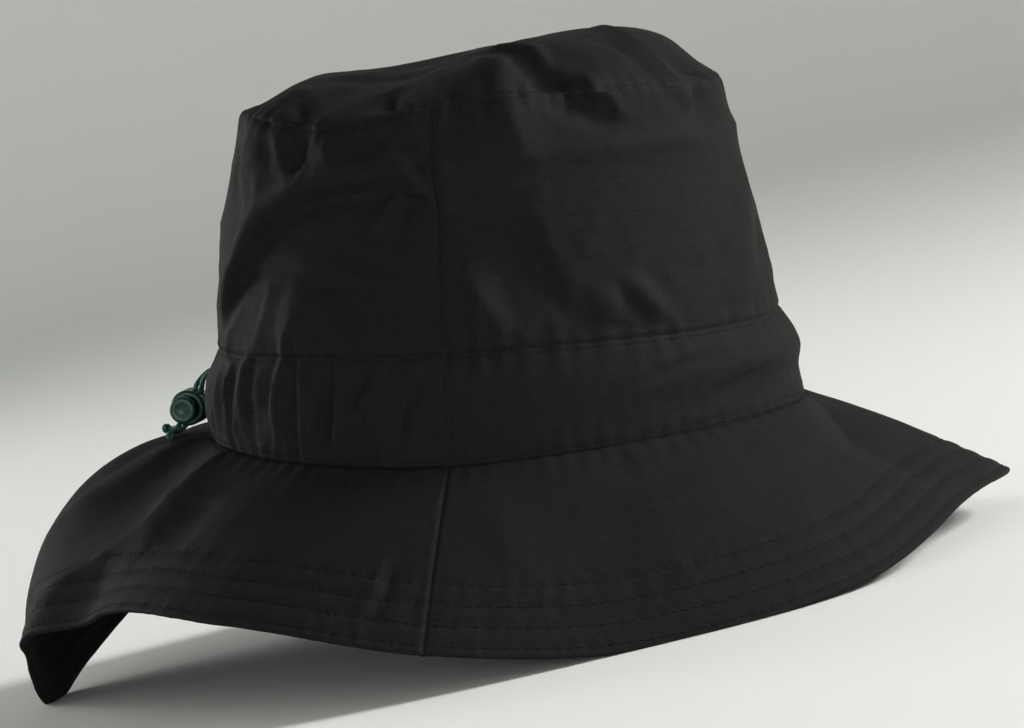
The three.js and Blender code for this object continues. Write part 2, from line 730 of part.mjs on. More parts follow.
// The knot at a strand's end: a fat bead in line with the cord
function knot(route) {
  const curve = strandCurve(route);
  const along = curve.getTangent(1);
  const bead = new THREE.SphereGeometry(half(KNOT_DIAMETER), CORD_SIDES, KNOT_ROWS);
  bead.scale(1, KNOT_LENGTH / KNOT_DIAMETER, 1);
  bead.applyQuaternion(new THREE.Quaternion().setFromUnitVectors(new THREE.Vector3(0, 1, 0), along));
  const centre = curve.getPoint(1).addScaledVector(along, half(KNOT_LENGTH) + RUNNING_GAP);
  return bead.translate(centre.x, centre.y, centre.z);
}

const cloth = new THREE.MeshStandardMaterial({ color: 0x1f211e, roughness: 0.82, metalness: 0 });
const liningCloth = new THREE.MeshStandardMaterial({ color: 0x232522, roughness: 0.85, metalness: 0 });
const elastic = new THREE.MeshStandardMaterial({ color: 0x0c2f29, roughness: 0.6, metalness: 0 });
const plastic = new THREE.MeshStandardMaterial({ color: 0x0a2f29, roughness: 0.3, metalness: 0 });

function piece(name, geometry, material) {
  const mesh = new THREE.Mesh(geometry, material);
  mesh.name = name;
  return mesh;
}

function clothPieces() {
  return [
    piece('crown_tip', settle(tipPanel(MESH.tip)), cloth),
    piece('crown_side_front', settle(crownSide(false, MESH.crownFront)), cloth),
    piece('crown_side_back', settle(crownSide(true, MESH.crownBack)), cloth),
    piece('band_front', settle(band(false, MESH.bandFront)), liningCloth),
    piece('band_back', settle(cut(band(true, MESH.bandBack), cordHole(-1), cordHole(1))), liningCloth),
    piece('brim_front', settle(brimPart(false, MESH.brimFront)), cloth),
    piece('brim_back', settle(brimPart(true, MESH.brimBack)), cloth),
  ];
}

// The cord and its lock keep their own frames and are laid with the hat by one matrix
function closure() {
  const lock = new THREE.Group();
  lock.applyMatrix4(lockTurn);
  lock.position.copy(LOCK_CENTRE);
  lock.add(piece('cord_lock_body', lockBody(), plastic));
  lock.add(piece('cord_lock_plunger', lockPlunger(), plastic));
  const group = new THREE.Group();
  group.applyMatrix4(resting);
  group.add(
    piece('drawcord_near', strand(NEAR_STRAND), elastic),
    piece('drawcord_far', strand(FAR_STRAND), elastic),
    piece('cord_knot_near', knot(NEAR_STRAND), elastic),
    piece('cord_knot_far', knot(FAR_STRAND), elastic),
    lock,
  );
  return group;
}

const group = new THREE.Group();
group.add(...clothPieces());
const footprint = new THREE.Box3().setFromObject(group);
const under = footprint.getCenter(new THREE.Vector3());
group.add(closure());
group.position.set(-under.x, -under.y, 0);

export default group;
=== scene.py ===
import logging
import math
from dataclasses import dataclass, field
from enum import Enum
from typing import Callable

import bpy
import numpy as np
from bpy.types import Material, Node, NodeSocket, NodeTree, Object, World
from mathutils import Matrix, Vector


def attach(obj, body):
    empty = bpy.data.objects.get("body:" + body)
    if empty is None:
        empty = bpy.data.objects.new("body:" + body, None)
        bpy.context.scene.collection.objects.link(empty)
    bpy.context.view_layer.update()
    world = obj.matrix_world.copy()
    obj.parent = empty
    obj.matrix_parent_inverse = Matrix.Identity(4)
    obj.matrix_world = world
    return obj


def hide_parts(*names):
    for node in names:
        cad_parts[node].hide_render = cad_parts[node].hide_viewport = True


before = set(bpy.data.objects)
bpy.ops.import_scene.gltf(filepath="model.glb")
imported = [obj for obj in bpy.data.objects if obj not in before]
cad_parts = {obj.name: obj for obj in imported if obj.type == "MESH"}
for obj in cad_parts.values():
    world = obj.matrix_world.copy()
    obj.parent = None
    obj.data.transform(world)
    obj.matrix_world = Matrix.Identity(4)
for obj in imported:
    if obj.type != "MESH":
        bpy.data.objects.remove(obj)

# A waterproof rain hat with a wide brim, dressed for the camera. Lengths in the
# classes are millimetres in the hat's own frame: x to the front, y to the
# wearer's left, z up, about the middle of the head opening. Hat.to_world turns
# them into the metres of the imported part.

LOG = logging.getLogger("rain_hat")
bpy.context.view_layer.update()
MM = 0.001
FINE = 1.0
Array = np.ndarray
Surface = Callable[[Array, Array], Array]
Seam = Callable[[Array], Array]
# how strongly a panel's rows and columns crowd towards its seams
TO_SEAMS = 0.55
# a distance in millimetres from which an edge no longer counts
FAR = 1e3
# the least length by which a vector is divided
TINY = 1e-12


# ---------------------------------------------------------------- small maths


def srgb(text: str) -> tuple[float, float, float, float]:
    """Turns an sRGB hex colour into a linear one: a straight line up to the knee, and
    a power above it.

    Args:
        text: The colour, as in "#1f211e".

    Returns:
        Linear red, green, blue and an alpha of 1.
    """
    knee, slope, offset, power = 0.04045, 12.92, 0.055, 2.4
    parts = [byte / 255 for byte in bytes.fromhex(text[1:])]
    linear = [p / slope if p <= knee else ((p + offset) / (1 + offset)) ** power for p in parts]
    return (*linear, 1.0)


def hermite(u: Array, width: Array, a: Array, b: Array, slope_a: Array, slope_b: Array) -> Array:
    """Cubic from a to b over a width, leaving and arriving at the given slopes.

    Args:
        u: Place in the interval, 0 to 1.
        width: Width of the interval.
        a: Value at its start.
        b: Value at its end.
        slope_a: Slope at its start.
        slope_b: Slope at its end.

    Returns:
        The values.
    """
    u2, u3 = u * u, u * u * u
    first = (2 * u3 - 3 * u2 + 1) * a + (u3 - 2 * u2 + u) * width * slope_a
    return first + (3 * u2 - 2 * u3) * b + (u3 - u2) * width * slope_b


def ramp(keys: Array, values: Array, at: Array) -> Array:
    """Cubic curve through a short table, open at both ends.

    Args:
        keys: The table's rising keys.
        values: The table's values.
        at: Where the curve is wanted.

    Returns:
        The curve's values.
    """
    at = np.clip(at, keys[0], keys[-1])
    width = np.diff(keys)
    slope = np.diff(values) / width
    tangent = np.empty_like(values)
    tangent[0], tangent[-1] = slope[0], slope[-1]
    tangent[1:-1] = (slope[:-1] * width[1:] + slope[1:] * width[:-1]) / (width[1:] + width[:-1])
    i = np.clip(np.searchsorted(keys, at, side="right") - 1, 0, len(keys) - 2)
    u = (at - keys[i]) / width[i]
    return hermite(u, width[i], values[i], values[i + 1], tangent[i], tangent[i + 1])


def closed_ramp(keys: Array, values: Array, at: Array) -> Array:
    """Cubic curve through a table of angles, closed after a full turn.

    Args:
        keys: The table's rising angles, in degrees.
        values: The table's values.
        at: The angles where the curve is wanted.

    Returns:
        The curve's values.
    """
    at = np.mod(at - keys[0], 360) + keys[0]
    keys = np.concatenate([keys[-2:] - 360, keys, keys[:2] + 360])
    return ramp(keys, np.concatenate([values[-2:], values, values[:2]]), at)


def bump(distance: Array, width: float) -> Array:
    """(1 - share^2)^2: 1 in the middle, falling smoothly to 0 at the width and beyond."""
    share = np.minimum(np.abs(distance) / width, 1)
    return (1 - share * share) ** 2


def bell(distance: Array, width: float) -> Array:
    """exp(-(distance / width)^2), a soft rounded ridge."""
    return np.exp(-np.square(distance / width))


def smoothstep(x: Array, low: float, high: float) -> Array:
    """3 t^2 - 2 t^3, with t running from 0 at low to 1 at high."""
    t = np.clip((x - low) / (high - low), 0, 1)
    return t * t * (3 - 2 * t)


def crowd(count: int, pull: float) -> Array:
    """Shares from 0 to 1, drawn towards both ends: t - pull sin(2 pi t) / (2 pi)."""
    t = np.linspace(0, 1, count + 1)
    return t - pull * np.sin(2 * np.pi * t) / (2 * np.pi)


def gathered(angle: Array, end: float, fade: float, start: tuple[float, float]) -> Array:
    """Where the back is gathered: 0 at its centre, 1 beside it, and 0 again at the sides.

    Args:
        angle: Angles, in degrees.
        end: Where the gathers end, in degrees from the centre of the back.
        fade: Over how many degrees they fade out there.
        start: Between which degrees from the centre they begin.

    Returns:
        Shares from 0 to 1.
    """
    from_back = 180 - np.abs(turn(angle, 0))
    return smoothstep(end - from_back, 0, fade) * smoothstep(from_back, *start)


def turn(a: Array, b: float) -> Array:
    """The angle from b to a, in degrees from -180 to 180."""
    return np.mod(a - b + 180, 360) - 180


def unit(v: Array) -> Array:
    """The vectors at length one."""
    return v / np.maximum(np.linalg.norm(v, axis=-1, keepdims=True), TINY)


def run_along(points: Array, axis: int) -> Array:
    """Length from the first point, added up along one axis of a grid.

    Args:
        points: A grid of points.
        axis: The grid's axis to follow.

    Returns:
        The lengths, on the same grid.
    """
    steps = np.linalg.norm(np.diff(points, axis=axis), axis=-1)
    shape = list(steps.shape)
    shape[axis] = 1
    return np.concatenate([np.zeros(shape), np.cumsum(steps, axis=axis)], axis=axis)


# ------------------------------------------------------------- the hat's form


@dataclass(frozen=True)
class Fold:
    """A dent (above 0) or puff (below 0) of the crown's side.

    The centre is an angle and a level; the half width is in degrees, the half
    height in levels, the depth a share of the fold depth, and the lean in
    degrees for each level.
    """

    angle: float
    level: float
    width: float
    height: float
    depth: float
    lean: float


@dataclass(frozen=True)
class TipFold:
    """A puff (above 0) or dent (below 0) of the tip, in shares of its half sizes."""

    x: float
    y: float
    radius: float
    height: float


@dataclass
class Hat:
    """The hat's surfaces, as functions of an angle round the head and a level."""

    head_length: float = 204
    head_width: float = 170
    band_height: float = 31.5
    crown_height: float = 79
    tip_rise: float = 20
    brim_width: float = 75
    side_dip: float = 4
    side_lift: float = 2
    front_lift: float = 2
    crown_wall: float = 1.6
    band_wall: float = 2.6
    brim_wall: float = 2.2
    seam_gap: float = 0.5
    fold_depth: float = 8
    pleat_depth: float = 2.2
    settle: float = 2
    # the angle from the front that parts the brim's sides from its back, and how
    # often the plane that it rests on is worked out anew
    touch_angle: float = 140
    touch_rounds: int = 12
    # how far, where and how widely the crown's top seam is pulled down
    top_sink: float = 6.5
    top_sink_angle: float = -118
    top_sink_width: float = 38
    tip_reach: float = 0.845
    # how fast the tip, its rise and its puffs come up from the seam
    tip_edge_power: float = 4
    tip_rise_power: float = 0.8
    tip_puff_gain: float = 3.2
    # level, then the front, back and side half sizes as shares of the head's
    sections: Array = field(default_factory=lambda: np.array([
        (0.0, 1.000, 1.000, 1.000),
        (0.3, 0.983, 1.010, 1.000),
        (0.6, 0.995, 1.004, 0.995),
        (1.0, 0.935, 0.957, 0.970),
        (1.5, 0.871, 0.915, 0.910),
        (2.0, 0.798, 0.818, 0.840),
    ]))
    # place along the tip from back to front, and its height as a share of tip_rise
    tip_profile: Array = field(default_factory=lambda: np.array([
        (-1.00, 0.000), (-0.86, 0.300), (-0.68, 0.600), (-0.58, 0.570), (-0.34, 0.555),
        (0.08, 0.725), (0.54, 1.025), (0.70, 1.000), (0.84, 0.600), (0.94, 0.220),
        (1.00, 0.000),
    ]))
    # angle, length as a share of brim_width, slope at the band and at the edge
    brim_sections: Array = field(default_factory=lambda: np.array([
        (-180, 1.92, -6, 110), (-172, 1.51, 3, 87), (-165, 1.26, 25, 58),
        (-157, 1.04, 33, 58), (-150, 0.96, 35, 50), (-120, 0.92, 34, 43),
        (-90, 0.97, 41, 50), (-60, 1.00, 47, 55), (-30, 1.00, 36, 46),
        (0, 0.89, 29, 31), (15, 1.04, 22, 30), (30, 1.01, 31, 42),
        (60, 1.00, 46, 54), (90, 0.97, 41, 50), (120, 0.94, 34, 45),
        (140, 1.06, 28, 52), (155, 1.34, 8, 72), (168, 1.73, -2, 98),
    ], dtype=float))
    folds: tuple[Fold, ...] = (
        Fold(-130.5, 1.90, 8.5, 0.18, 0.45, -10),
        Fold(-149, 1.86, 10, 0.20, -0.22, 0),
        Fold(-118, 1.88, 12, 0.16, -0.18, 0),
        Fold(-72, 1.90, 13, 0.20, -0.42, 0),
        Fold(-52, 1.94, 11, 0.14, 0.36, -60),
        Fold(-13, 1.90, 8, 0.16, 0.62, 20),
        Fold(-8, 1.40, 9, 0.42, -0.25, 30),
        Fold(-80, 1.20, 7, 0.19, -0.36, -24),
        Fold(-52, 1.15, 5, 0.11, -0.32, -10),
        Fold(-43, 1.16, 4.5, 0.13, -0.32, -34),
        Fold(-126, 1.16, 16, 0.20, -0.25, 0),
        Fold(28, 1.84, 14, 0.20, 0.45, 30),
        Fold(66, 1.52, 24, 0.26, 0.55, 40),
        Fold(112, 1.66, 20, 0.22, 0.60, -30),
        Fold(150, 1.40, 16, 0.24, 0.45, 20),
    )
    # the arched fold over the near side: angle and level of its lip
    arch: Array = field(default_factory=lambda: np.array([
        (-162, 1.10), (-155, 1.28), (-149, 1.43), (-143, 1.55), (-136, 1.63), (-129, 1.71),
        (-118, 1.75), (-100, 1.755), (-86, 1.745), (-74, 1.70), (-67, 1.58), (-63, 1.40),
        (-60, 1.20), (-57, 1.09),
    ]))
    arch_foot: float = 1.08
    arch_lip: float = 0.09
    arch_soft_lip: float = 0.26
    arch_depth: float = 0.75
    arch_ridge: float = 0.22
    # the angles between which its lip turns soft, and how it fades towards its foot
    arch_softening: tuple[float, float] = (-104, -84)
    arch_fade_power: float = 0.8
    tip_folds: tuple[TipFold, ...] = (
        TipFold(0.26, -0.86, 0.24, 0.45),
        TipFold(0.46, -0.78, 0.20, -0.70),
        TipFold(0.78, -0.12, 0.20, -0.45),
        TipFold(-0.20, -0.82, 0.14, -0.25),
        TipFold(-0.30, 0.30, 0.45, -0.35),
        TipFold(0.30, 0.55, 0.30, -0.30),
    )
    pleats: tuple[float, ...] = (
        -170, -161, -154, -147.5, -141, -135.5, -128, -119, -110,
        170, 162, 153, 145, 136, 128, 118, 108,
    )
    pleat_width: float = 3.6
    pleat_level: float = 0.5
    pleat_reach: float = 0.62
    # how far the cloth between two pleats stands out, as a share of their depth
    pleat_rest: float = 0.4
    # the gathers' end and fade at the sides, and their start beside the back's centre
    gather: tuple[float, float, tuple[float, float]] = (80, 14, (4, 9))
    # columns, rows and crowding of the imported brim's two halves
    brim_mesh: tuple[tuple[int, int, float], ...] = ((36, 5, 0.0), (56, 9, 0.45))
    rest: Array = field(init=False)

    def __post_init__(self) -> None:
        """Works out how the hat lies, once."""
        self.rest = self.resting()

    def arch_push(self, angle: Array, level: Array) -> Array:
        """How far the arched fold pushes the side in: most just under its lip, and
        nothing again at its foot, with a low ridge along the lip.

        Args:
            angle: Angles, in degrees.
            level: Levels.

        Returns:
            The push, as a share of the fold depth.
        """
        at = turn(angle, 0)
        lip = ramp(self.arch[:, 0], self.arch[:, 1], at)
        reach = lip - self.arch_foot
        soft = smoothstep(at, *self.arch_softening)
        width = self.arch_lip + (self.arch_soft_lip - self.arch_lip) * soft
        below = (lip - level) / width
        part = np.minimum(reach / self.arch_lip, 1) * (1 - soft)
        ridge = self.arch_ridge * bump(level - lip - self.arch_lip / 2, self.arch_lip) * part
        back = np.maximum((level - self.arch_foot) / reach, 0) ** self.arch_fade_power
        full = np.minimum(reach / (3 * self.arch_lip), 1)
        push = self.arch_depth * smoothstep(below, 0, 1) * back * full
        push = np.where((below < 0) | (level < self.arch_foot), 0, push) - ridge
        inside = (at >= self.arch[0, 0]) & (at <= self.arch[-1, 0])
        return np.where(inside, push, 0)

    def side(self, angle: Array, level: Array) -> Array:
        """The band and the crown's side: an ellipse at each level, less the folds
        and the pleats.

        Args:
            angle: Angles, in degrees.
            level: 0 at the brim, 1 at the top of the band, 2 at the tip.

        Returns:
            The points.
        """
        c, s = np.cos(np.radians(angle)), np.sin(np.radians(angle))
        rows = self.sections
        front, back = (ramp(rows[:, 0], rows[:, k], level) for k in (1, 2))
        a = np.where(c > 0, front, back) * self.head_length / 2
        b = ramp(rows[:, 0], rows[:, 3], level) * self.head_width / 2
        push = self.arch_push(angle, level)
        for fold in self.folds:
            rise = level - fold.level
            across = turn(angle, fold.angle) - fold.lean * rise
            push = push + fold.depth * bump(across, fold.width) * bump(rise, fold.height)
        radius = 1 / np.hypot(c / a, s / b) - push * self.fold_depth - self.pleat_push(angle, level)
        above = self.band_height + (level - 1) * self.crown_height
        low = np.maximum(1 - level, 0)
        z = np.where(level < 1, level * self.band_height, above)
        z = z + level / 2 * self.side_lift * s * s - low * self.side_dip * s * s
        z = z + low * self.front_lift * np.maximum(c, 0)
        sink = bump(turn(angle, self.top_sink_angle), self.top_sink_width)
        z = z - self.top_sink * sink * np.maximum(level - 1, 0) ** 2
        return np.stack([radius * c, radius * s, z], -1)

    def pleat_push(self, angle: Array, level: Array) -> Array:
        """How far the gathered pleats push the band in: one bump for each pleat.

        Args:
            angle: Angles, in degrees.
            level: Levels.

        Returns:
            The push, in millimetres.
        """
        depth = sum(bump(turn(angle, pleat), self.pleat_width) for pleat in self.pleats)
        upright = bump(level - self.pleat_level, self.pleat_reach)
        return (depth - self.pleat_rest) * gathered(angle, *self.gather) * upright * self.pleat_depth

    def tip(self, angle: Array, level: Array) -> Array:
        """The top panel: the crown's ring drawn in to its middle and raised by the
        profile from back to front, with its puffs and dents.

        Args:
            angle: Angles, in degrees.
            level: 0 at its seam, 1 in the middle.

        Returns:
            The points.
        """
        ring = self.side(angle, np.full_like(level, 2.0))
        x, y = ring[..., 0] * (1 - level), ring[..., 1] * (1 - level)
        across = x / (self.tip_reach * self.head_length / 2)
        aside = y / (self.tip_reach * self.head_width / 2)
        edge = 1 - (1 - level) ** self.tip_edge_power
        profile = ramp(self.tip_profile[:, 0], self.tip_profile[:, 1], across)
        rise = profile * self.tip_rise * edge**self.tip_rise_power
        puff = sum(f.height * bump(np.hypot(across - f.x, aside - f.y), f.radius) for f in self.tip_folds)
        middle = self.band_height + self.crown_height + self.side_lift
        z = ring[..., 2] * (1 - level) + middle * level + rise
        z = z + puff * self.fold_depth * np.minimum(self.tip_puff_gain * edge, 1)
        return np.stack([x, y, z], -1)

    def brim_length(self, angle: Array) -> Array:
        """Length of the brim from band to edge at each angle."""
        return closed_ramp(self.brim_sections[:, 0], self.brim_sections[:, 1], angle) * self.brim_width

    def brim(self, angle: Array, level: Array) -> Array:
        """The brim: each section is an arc from one slope to the other, headed
        straight out from the band.

        Args:
            angle: Angles, in degrees.
            level: 0 at its edge, 1 at the band.

        Returns:
            The points.
        """
        start = self.side(angle, np.zeros_like(level))
        out = 1 - level
        length = self.brim_length(angle)
        rows = self.brim_sections
        slope, end = (np.radians(closed_ramp(rows[:, 0], rows[:, k], angle)) for k in (2, 3))
        bend = end - slope
        away = length * (np.sin(slope + bend * out) - np.sin(slope)) / bend
        down = length * (np.cos(slope) - np.cos(slope + bend * out)) / bend
        c, s = np.cos(np.radians(angle)), np.sin(np.radians(angle))
        heading = np.arctan2(s / self.head_width, c / self.head_length)
        steps = np.stack([away * np.cos(heading), away * np.sin(heading), -down], -1)
        return start + steps

    def normal(self, surface: Surface, angle: Array, level: Array) -> Array:
        """Outward direction of a surface: the cross product of a small step round
        the head and a small step up.

        Args:
            surface: The surface.
            angle: Angles, in degrees.
            level: Levels.

        Returns:
            Unit vectors.
        """
        step = 1e-3
        high = np.where(level > 0.5, level, level + step)
        across = surface(angle + step, level) - surface(angle - step, level)
        return unit(np.cross(across, surface(angle, high) - surface(angle, high - step)))

    def mitre(
        self, first: Surface, first_level: float, second: Surface, second_level: float,
    ) -> Seam:
        """The direction halfway between two surfaces' normals along their seam.

        Args:
            first: One surface.
            first_level: Its level at the seam.
            second: The other surface.
            second_level: Its level at the seam.

        Returns:
            A function from angles to unit vectors.
        """

        def direction(angle: Array) -> Array:
            """Unit vectors halfway between the two normals."""
            a = self.normal(first, angle, np.full_like(angle, first_level))
            b = self.normal(second, angle, np.full_like(angle, second_level))
            return unit(a + b)

        return direction

    def resting(self) -> Array:
        """The turn and shift that set the hat down: the plane touches the lowest
        point of the brim's edge on the near side, on the far side and at the back,
        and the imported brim's footprint is centred.

        Returns:
            A 4 by 4 matrix in millimetres.
        """
        angle = np.arange(-180.0, 180.0)
        zero = np.zeros_like(angle)
        outer = self.brim(angle, zero)
        edge = np.concatenate([outer, outer - self.normal(self.brim, angle, zero) * self.brim_wall])
        at = np.concatenate([angle, angle])
        sides = [(at > -self.touch_angle) & (at <= 0), (at > 0) & (at <= self.touch_angle)]
        parts = [edge[part] for part in (*sides, np.abs(at) > self.touch_angle)]
        up = np.array([0.0, 0.0, 1.0])
        near = edge[0]
        for _ in range(self.touch_rounds):
            near, far, back = (part[(part @ up).argmin()] for part in parts)
            up = unit(np.cross(far - near, back - near))
        forward = unit(np.array([1.0, 0.0, 0.0]) - up * up[0])
        turned = np.stack([forward, np.cross(up, forward), up])
        boxes = []
        for half, (columns, rows, crowding) in enumerate(self.brim_mesh):
            inset = np.degrees(self.seam_gap / self.head_width)
            columns_at = (90 if half else -90) + inset + (180 - 2 * inset) * crowd(columns, -crowding)
            levels = np.linspace(0, 1 - self.seam_gap / 2 / self.brim_width, rows + 1)
            angles, heights = np.meshgrid(columns_at, levels, indexing="ij")
            shell = self.brim(angles, heights)
            inner = shell - self.normal(self.brim, angles, heights) * self.brim_wall
            boxes.append(np.concatenate([shell.reshape(-1, 3), inner.reshape(-1, 3)]) @ turned.T)
        ground = np.concatenate(boxes)
        matrix = np.eye(4)
        matrix[:3, :3] = turned
        matrix[:2, 3] = -(ground.min(0) + ground.max(0))[:2] / 2
        matrix[2, 3] = -(near @ up + self.settle)
        return matrix

    def to_world(self, points: Array, floor: bool = True) -> Array:
        """Lays points down with the hat, in metres; nothing reaches below the floor.

        Args:
            points: Points in the hat's frame, in millimetres.
            floor: Whether to flatten on the floor what would reach below it.

        Returns:
            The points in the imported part's frame.
        """
        laid = points @ self.rest[:3, :3].T + self.rest[:3, 3]
        if floor:
            laid[..., 2] = np.maximum(laid[..., 2], 0)
        return laid * MM

    def direction(self, vectors: Array) -> Array:
        """Turns directions as the hat is turned when it lies down."""
        return vectors @ self.rest[:3, :3].T


# ------------------------------------------------------------------- finishes


def add_node(
    tree: NodeTree, kind: str, inputs: dict | None = None, **settings: object,
) -> Node:
    """Adds a node with its settings, values and links.

    Args:
        tree: The material's node tree.
        kind: The node's type, without the ShaderNode in front of it.
        inputs: A value or a socket for each named or numbered input.
        **settings: The node's own options.

    Returns:
        The new node.
    """
    node = tree.nodes.new("ShaderNode" + kind)
    for name, value in settings.items():
        setattr(node, name, value)
    for socket, value in (inputs or {}).items():
        if isinstance(value, NodeSocket):
            tree.links.new(value, node.inputs[socket])
        else:
            node.inputs[socket].default_value = value
    return node


def new_material(
    name: str, base: str, roughness: float, specular: float = 0.5,
) -> tuple[Material, Node]:
    """A material with one principled shader.

    Args:
        name: The material's name.
        base: Its sRGB hex colour.
        roughness: Its roughness.
        specular: Its specular level, 0.5 for a plain dielectric.

    Returns:
        The material and its shader node.
    """
    material = bpy.data.materials.new(name)
    material.use_nodes = True
    shader = material.node_tree.nodes["Principled BSDF"]
    shader.inputs["Base Color"].default_value = srgb(base)
    shader.inputs["Roughness"].default_value = roughness
    shader.inputs["Specular IOR Level"].default_value = specular
    return material, shader


def set_stops(node: Node, stops: tuple[float, float], colours: tuple[str, str]) -> None:
    """Sets the places and the sRGB hex colours of a colour ramp's two stops."""
    for element, stop, colour in zip(node.color_ramp.elements, stops, colours):
        element.position, element.color = stop, srgb(colour)


@dataclass(frozen=True)
class ProofedCotton:
    """Close plain-woven cotton with a waterproof dressing: near black, a fine grid of
    yarns with thicker slubs, and a dull, slightly waxy shine on its folds."""

    name: str = "proofed_cotton_plain_weave"
    dark: str = "#151715"
    light: str = "#1f201f"
    roughness: float = 0.70
    specular: float = 0.055
    # the real yarns are 0.3 mm apart; 0.75 mm is as fine as shows in the render
    yarn_spacing: float = 0.75
    yarn_share: float = 0.35
    yarn_height: float = 0.10
    crinkle_height: float = 0.20
    crush_height: float = 0.24
    # length and width in millimetres, detail, roughness and distortion of the slubs
    # both ways, the small crinkles, the crushed lines and the speckle
    patterns: tuple[tuple[float, ...], ...] = (
        (5.0, 0.6, 2.0, 0.6, 0.0),
        (0.6, 5.0, 2.0, 0.6, 0.0),
        (5.0, 5.0, 3.0, 0.5, 0.6),
        (17.0, 2.4, 2.0, 0.5, 0.9),
        (0.9, 0.9, 2.0, 0.5, 0.0),
    )
    speckle_share: float = 0.7
    # the greatest sum of slubs and speckle, and where the two colours lie on it
    colour_sum: float = 2.7
    colour_stops: tuple[float, float] = (0.38, 0.62)

    def material(self) -> Material:
        """Builds the cloth on the piece's own UV map, in metres: crossed slubs and
        yarns for the bump and a faint change of colour, small crinkles, and longer
        crushed lines round the head.

        Returns:
            The material.
        """
        material, shader = new_material(self.name, self.dark, self.roughness, self.specular)
        tree = material.node_tree
        uv = add_node(tree, "UVMap", uv_map="cloth").outputs["UV"]
        noises = []
        for length, width, detail, roughness, distortion in self.patterns:
            scale = (1 / (length * MM), 1 / (width * MM), 1.0)
            place = add_node(tree, "Mapping", {"Vector": uv, "Scale": scale})
            noises.append(add_node(tree, "TexNoise", {
                "Vector": place.outputs["Vector"], "Scale": 1.0, "Detail": detail,
                "Roughness": roughness, "Distortion": distortion,
            }).outputs["Fac"])
        warp, weft, crinkle, crush, speckle = noises
        slub = add_node(tree, "Math", {0: warp, 1: weft}, operation="ADD").outputs[0]
        turns = 2 * math.pi / (self.yarn_spacing * MM)
        parts = add_node(tree, "SeparateXYZ", {0: uv})
        waves = []
        for axis in ("X", "Y"):
            lay = {0: parts.outputs[axis], 1: turns}
            phase = add_node(tree, "Math", lay, operation="MULTIPLY").outputs[0]
            waves.append(add_node(tree, "Math", {0: phase}, operation="SINE").outputs[0])
        yarn = add_node(tree, "Math", dict(enumerate(waves)), operation="MULTIPLY").outputs[0]
        shares = {0: yarn, 1: self.yarn_share, 2: slub}
        weave = add_node(tree, "Math", shares, operation="MULTIPLY_ADD").outputs[0]
        bumps = ((crush, self.crush_height), (crinkle, self.crinkle_height), (weave, self.yarn_height))
        below = {}
        for height, distance in bumps:
            inputs = {"Height": height, "Distance": distance * MM, "Strength": 1.0, **below}
            below = {"Normal": add_node(tree, "Bump", inputs).outputs["Normal"]}
        shares = {0: speckle, 1: self.speckle_share, 2: slub}
        mixed = add_node(tree, "Math", shares, operation="MULTIPLY_ADD").outputs[0]
        share = add_node(tree, "Math", {0: mixed, 1: 1 / self.colour_sum}, operation="MULTIPLY")
        colour = add_node(tree, "ValToRGB", {0: share.outputs[0]})
        set_stops(colour, self.colour_stops, (self.dark, self.light))
        tree.links.new(colour.outputs["Color"], shader.inputs["Base Color"])
        tree.links.new(below["Normal"], shader.inputs["Normal"])
        return material


@dataclass(frozen=True)
class PolyesterThread:
    """Spun polyester sewing thread: black and matt, a shade darker than the cloth."""

    name: str = "spun_polyester_thread"
    colour: str = "#0b0c0b"
    roughness: float = 0.7
    specular: float = 0.15

    def material(self) -> Material:
        """Builds the thread, even all over."""
        return new_material(self.name, self.colour, self.roughness, self.specular)[0]


@dataclass(frozen=True)
class BraidedElastic:
    """Round elastic with a braided polyester sleeve: teal, with crossing strands that
    break up its shine. The teal between the strands is the cord's own; the lighter
    teal on the raised strands is a painted highlight."""

    name: str = "braided_elastic_sleeve"
    colour: str = "#093a31"
    # the lighter teal of the raised strands' crests: a painted highlight
    light: str = "#13584a"
    roughness: float = 0.5
    # one diamond of the braid along the cord, and the number of them round it
    braid_pitch: float = 1.1
    braid_count: int = 4
    braid_height: float = 0.08

    def material(self) -> Material:
        """Builds the braid: two waves that cross, on a UV map with u round the cord
        in turns and v along it in metres. The same waves raise the bump and paint the
        raised strands a lighter teal, a painted highlight.

        Returns:
            The material.
        """
        material, shader = new_material(self.name, self.colour, self.roughness)
        tree = material.node_tree
        uv = add_node(tree, "UVMap", uv_map="cord").outputs["UV"]
        parts = add_node(tree, "SeparateXYZ", {0: uv})
        circle = {0: parts.outputs["X"], 1: 2 * math.pi * self.braid_count}
        round_it = add_node(tree, "Math", circle, operation="MULTIPLY")
        turns = 2 * math.pi / (self.braid_pitch * MM)
        waves = []
        for sign in (1, -1):
            lay = {0: parts.outputs["Y"], 1: sign * turns, 2: round_it.outputs[0]}
            phase = add_node(tree, "Math", lay, operation="MULTIPLY_ADD").outputs[0]
            waves.append(add_node(tree, "Math", {0: phase}, operation="SINE").outputs[0])
        braid = add_node(tree, "Math", dict(enumerate(waves)), operation="MAXIMUM").outputs[0]
        raised = add_node(tree, "Bump", {"Height": braid, "Distance": self.braid_height * MM})
        # painted highlight: the colour runs from the cord's own teal to a lighter teal as the strands rise
        colour = add_node(tree, "ValToRGB", {0: braid})
        set_stops(colour, (0, 1), (self.colour, self.light))
        tree.links.new(colour.outputs["Color"], shader.inputs["Base Color"])
        tree.links.new(raised.outputs["Normal"], shader.inputs["Normal"])
        return material


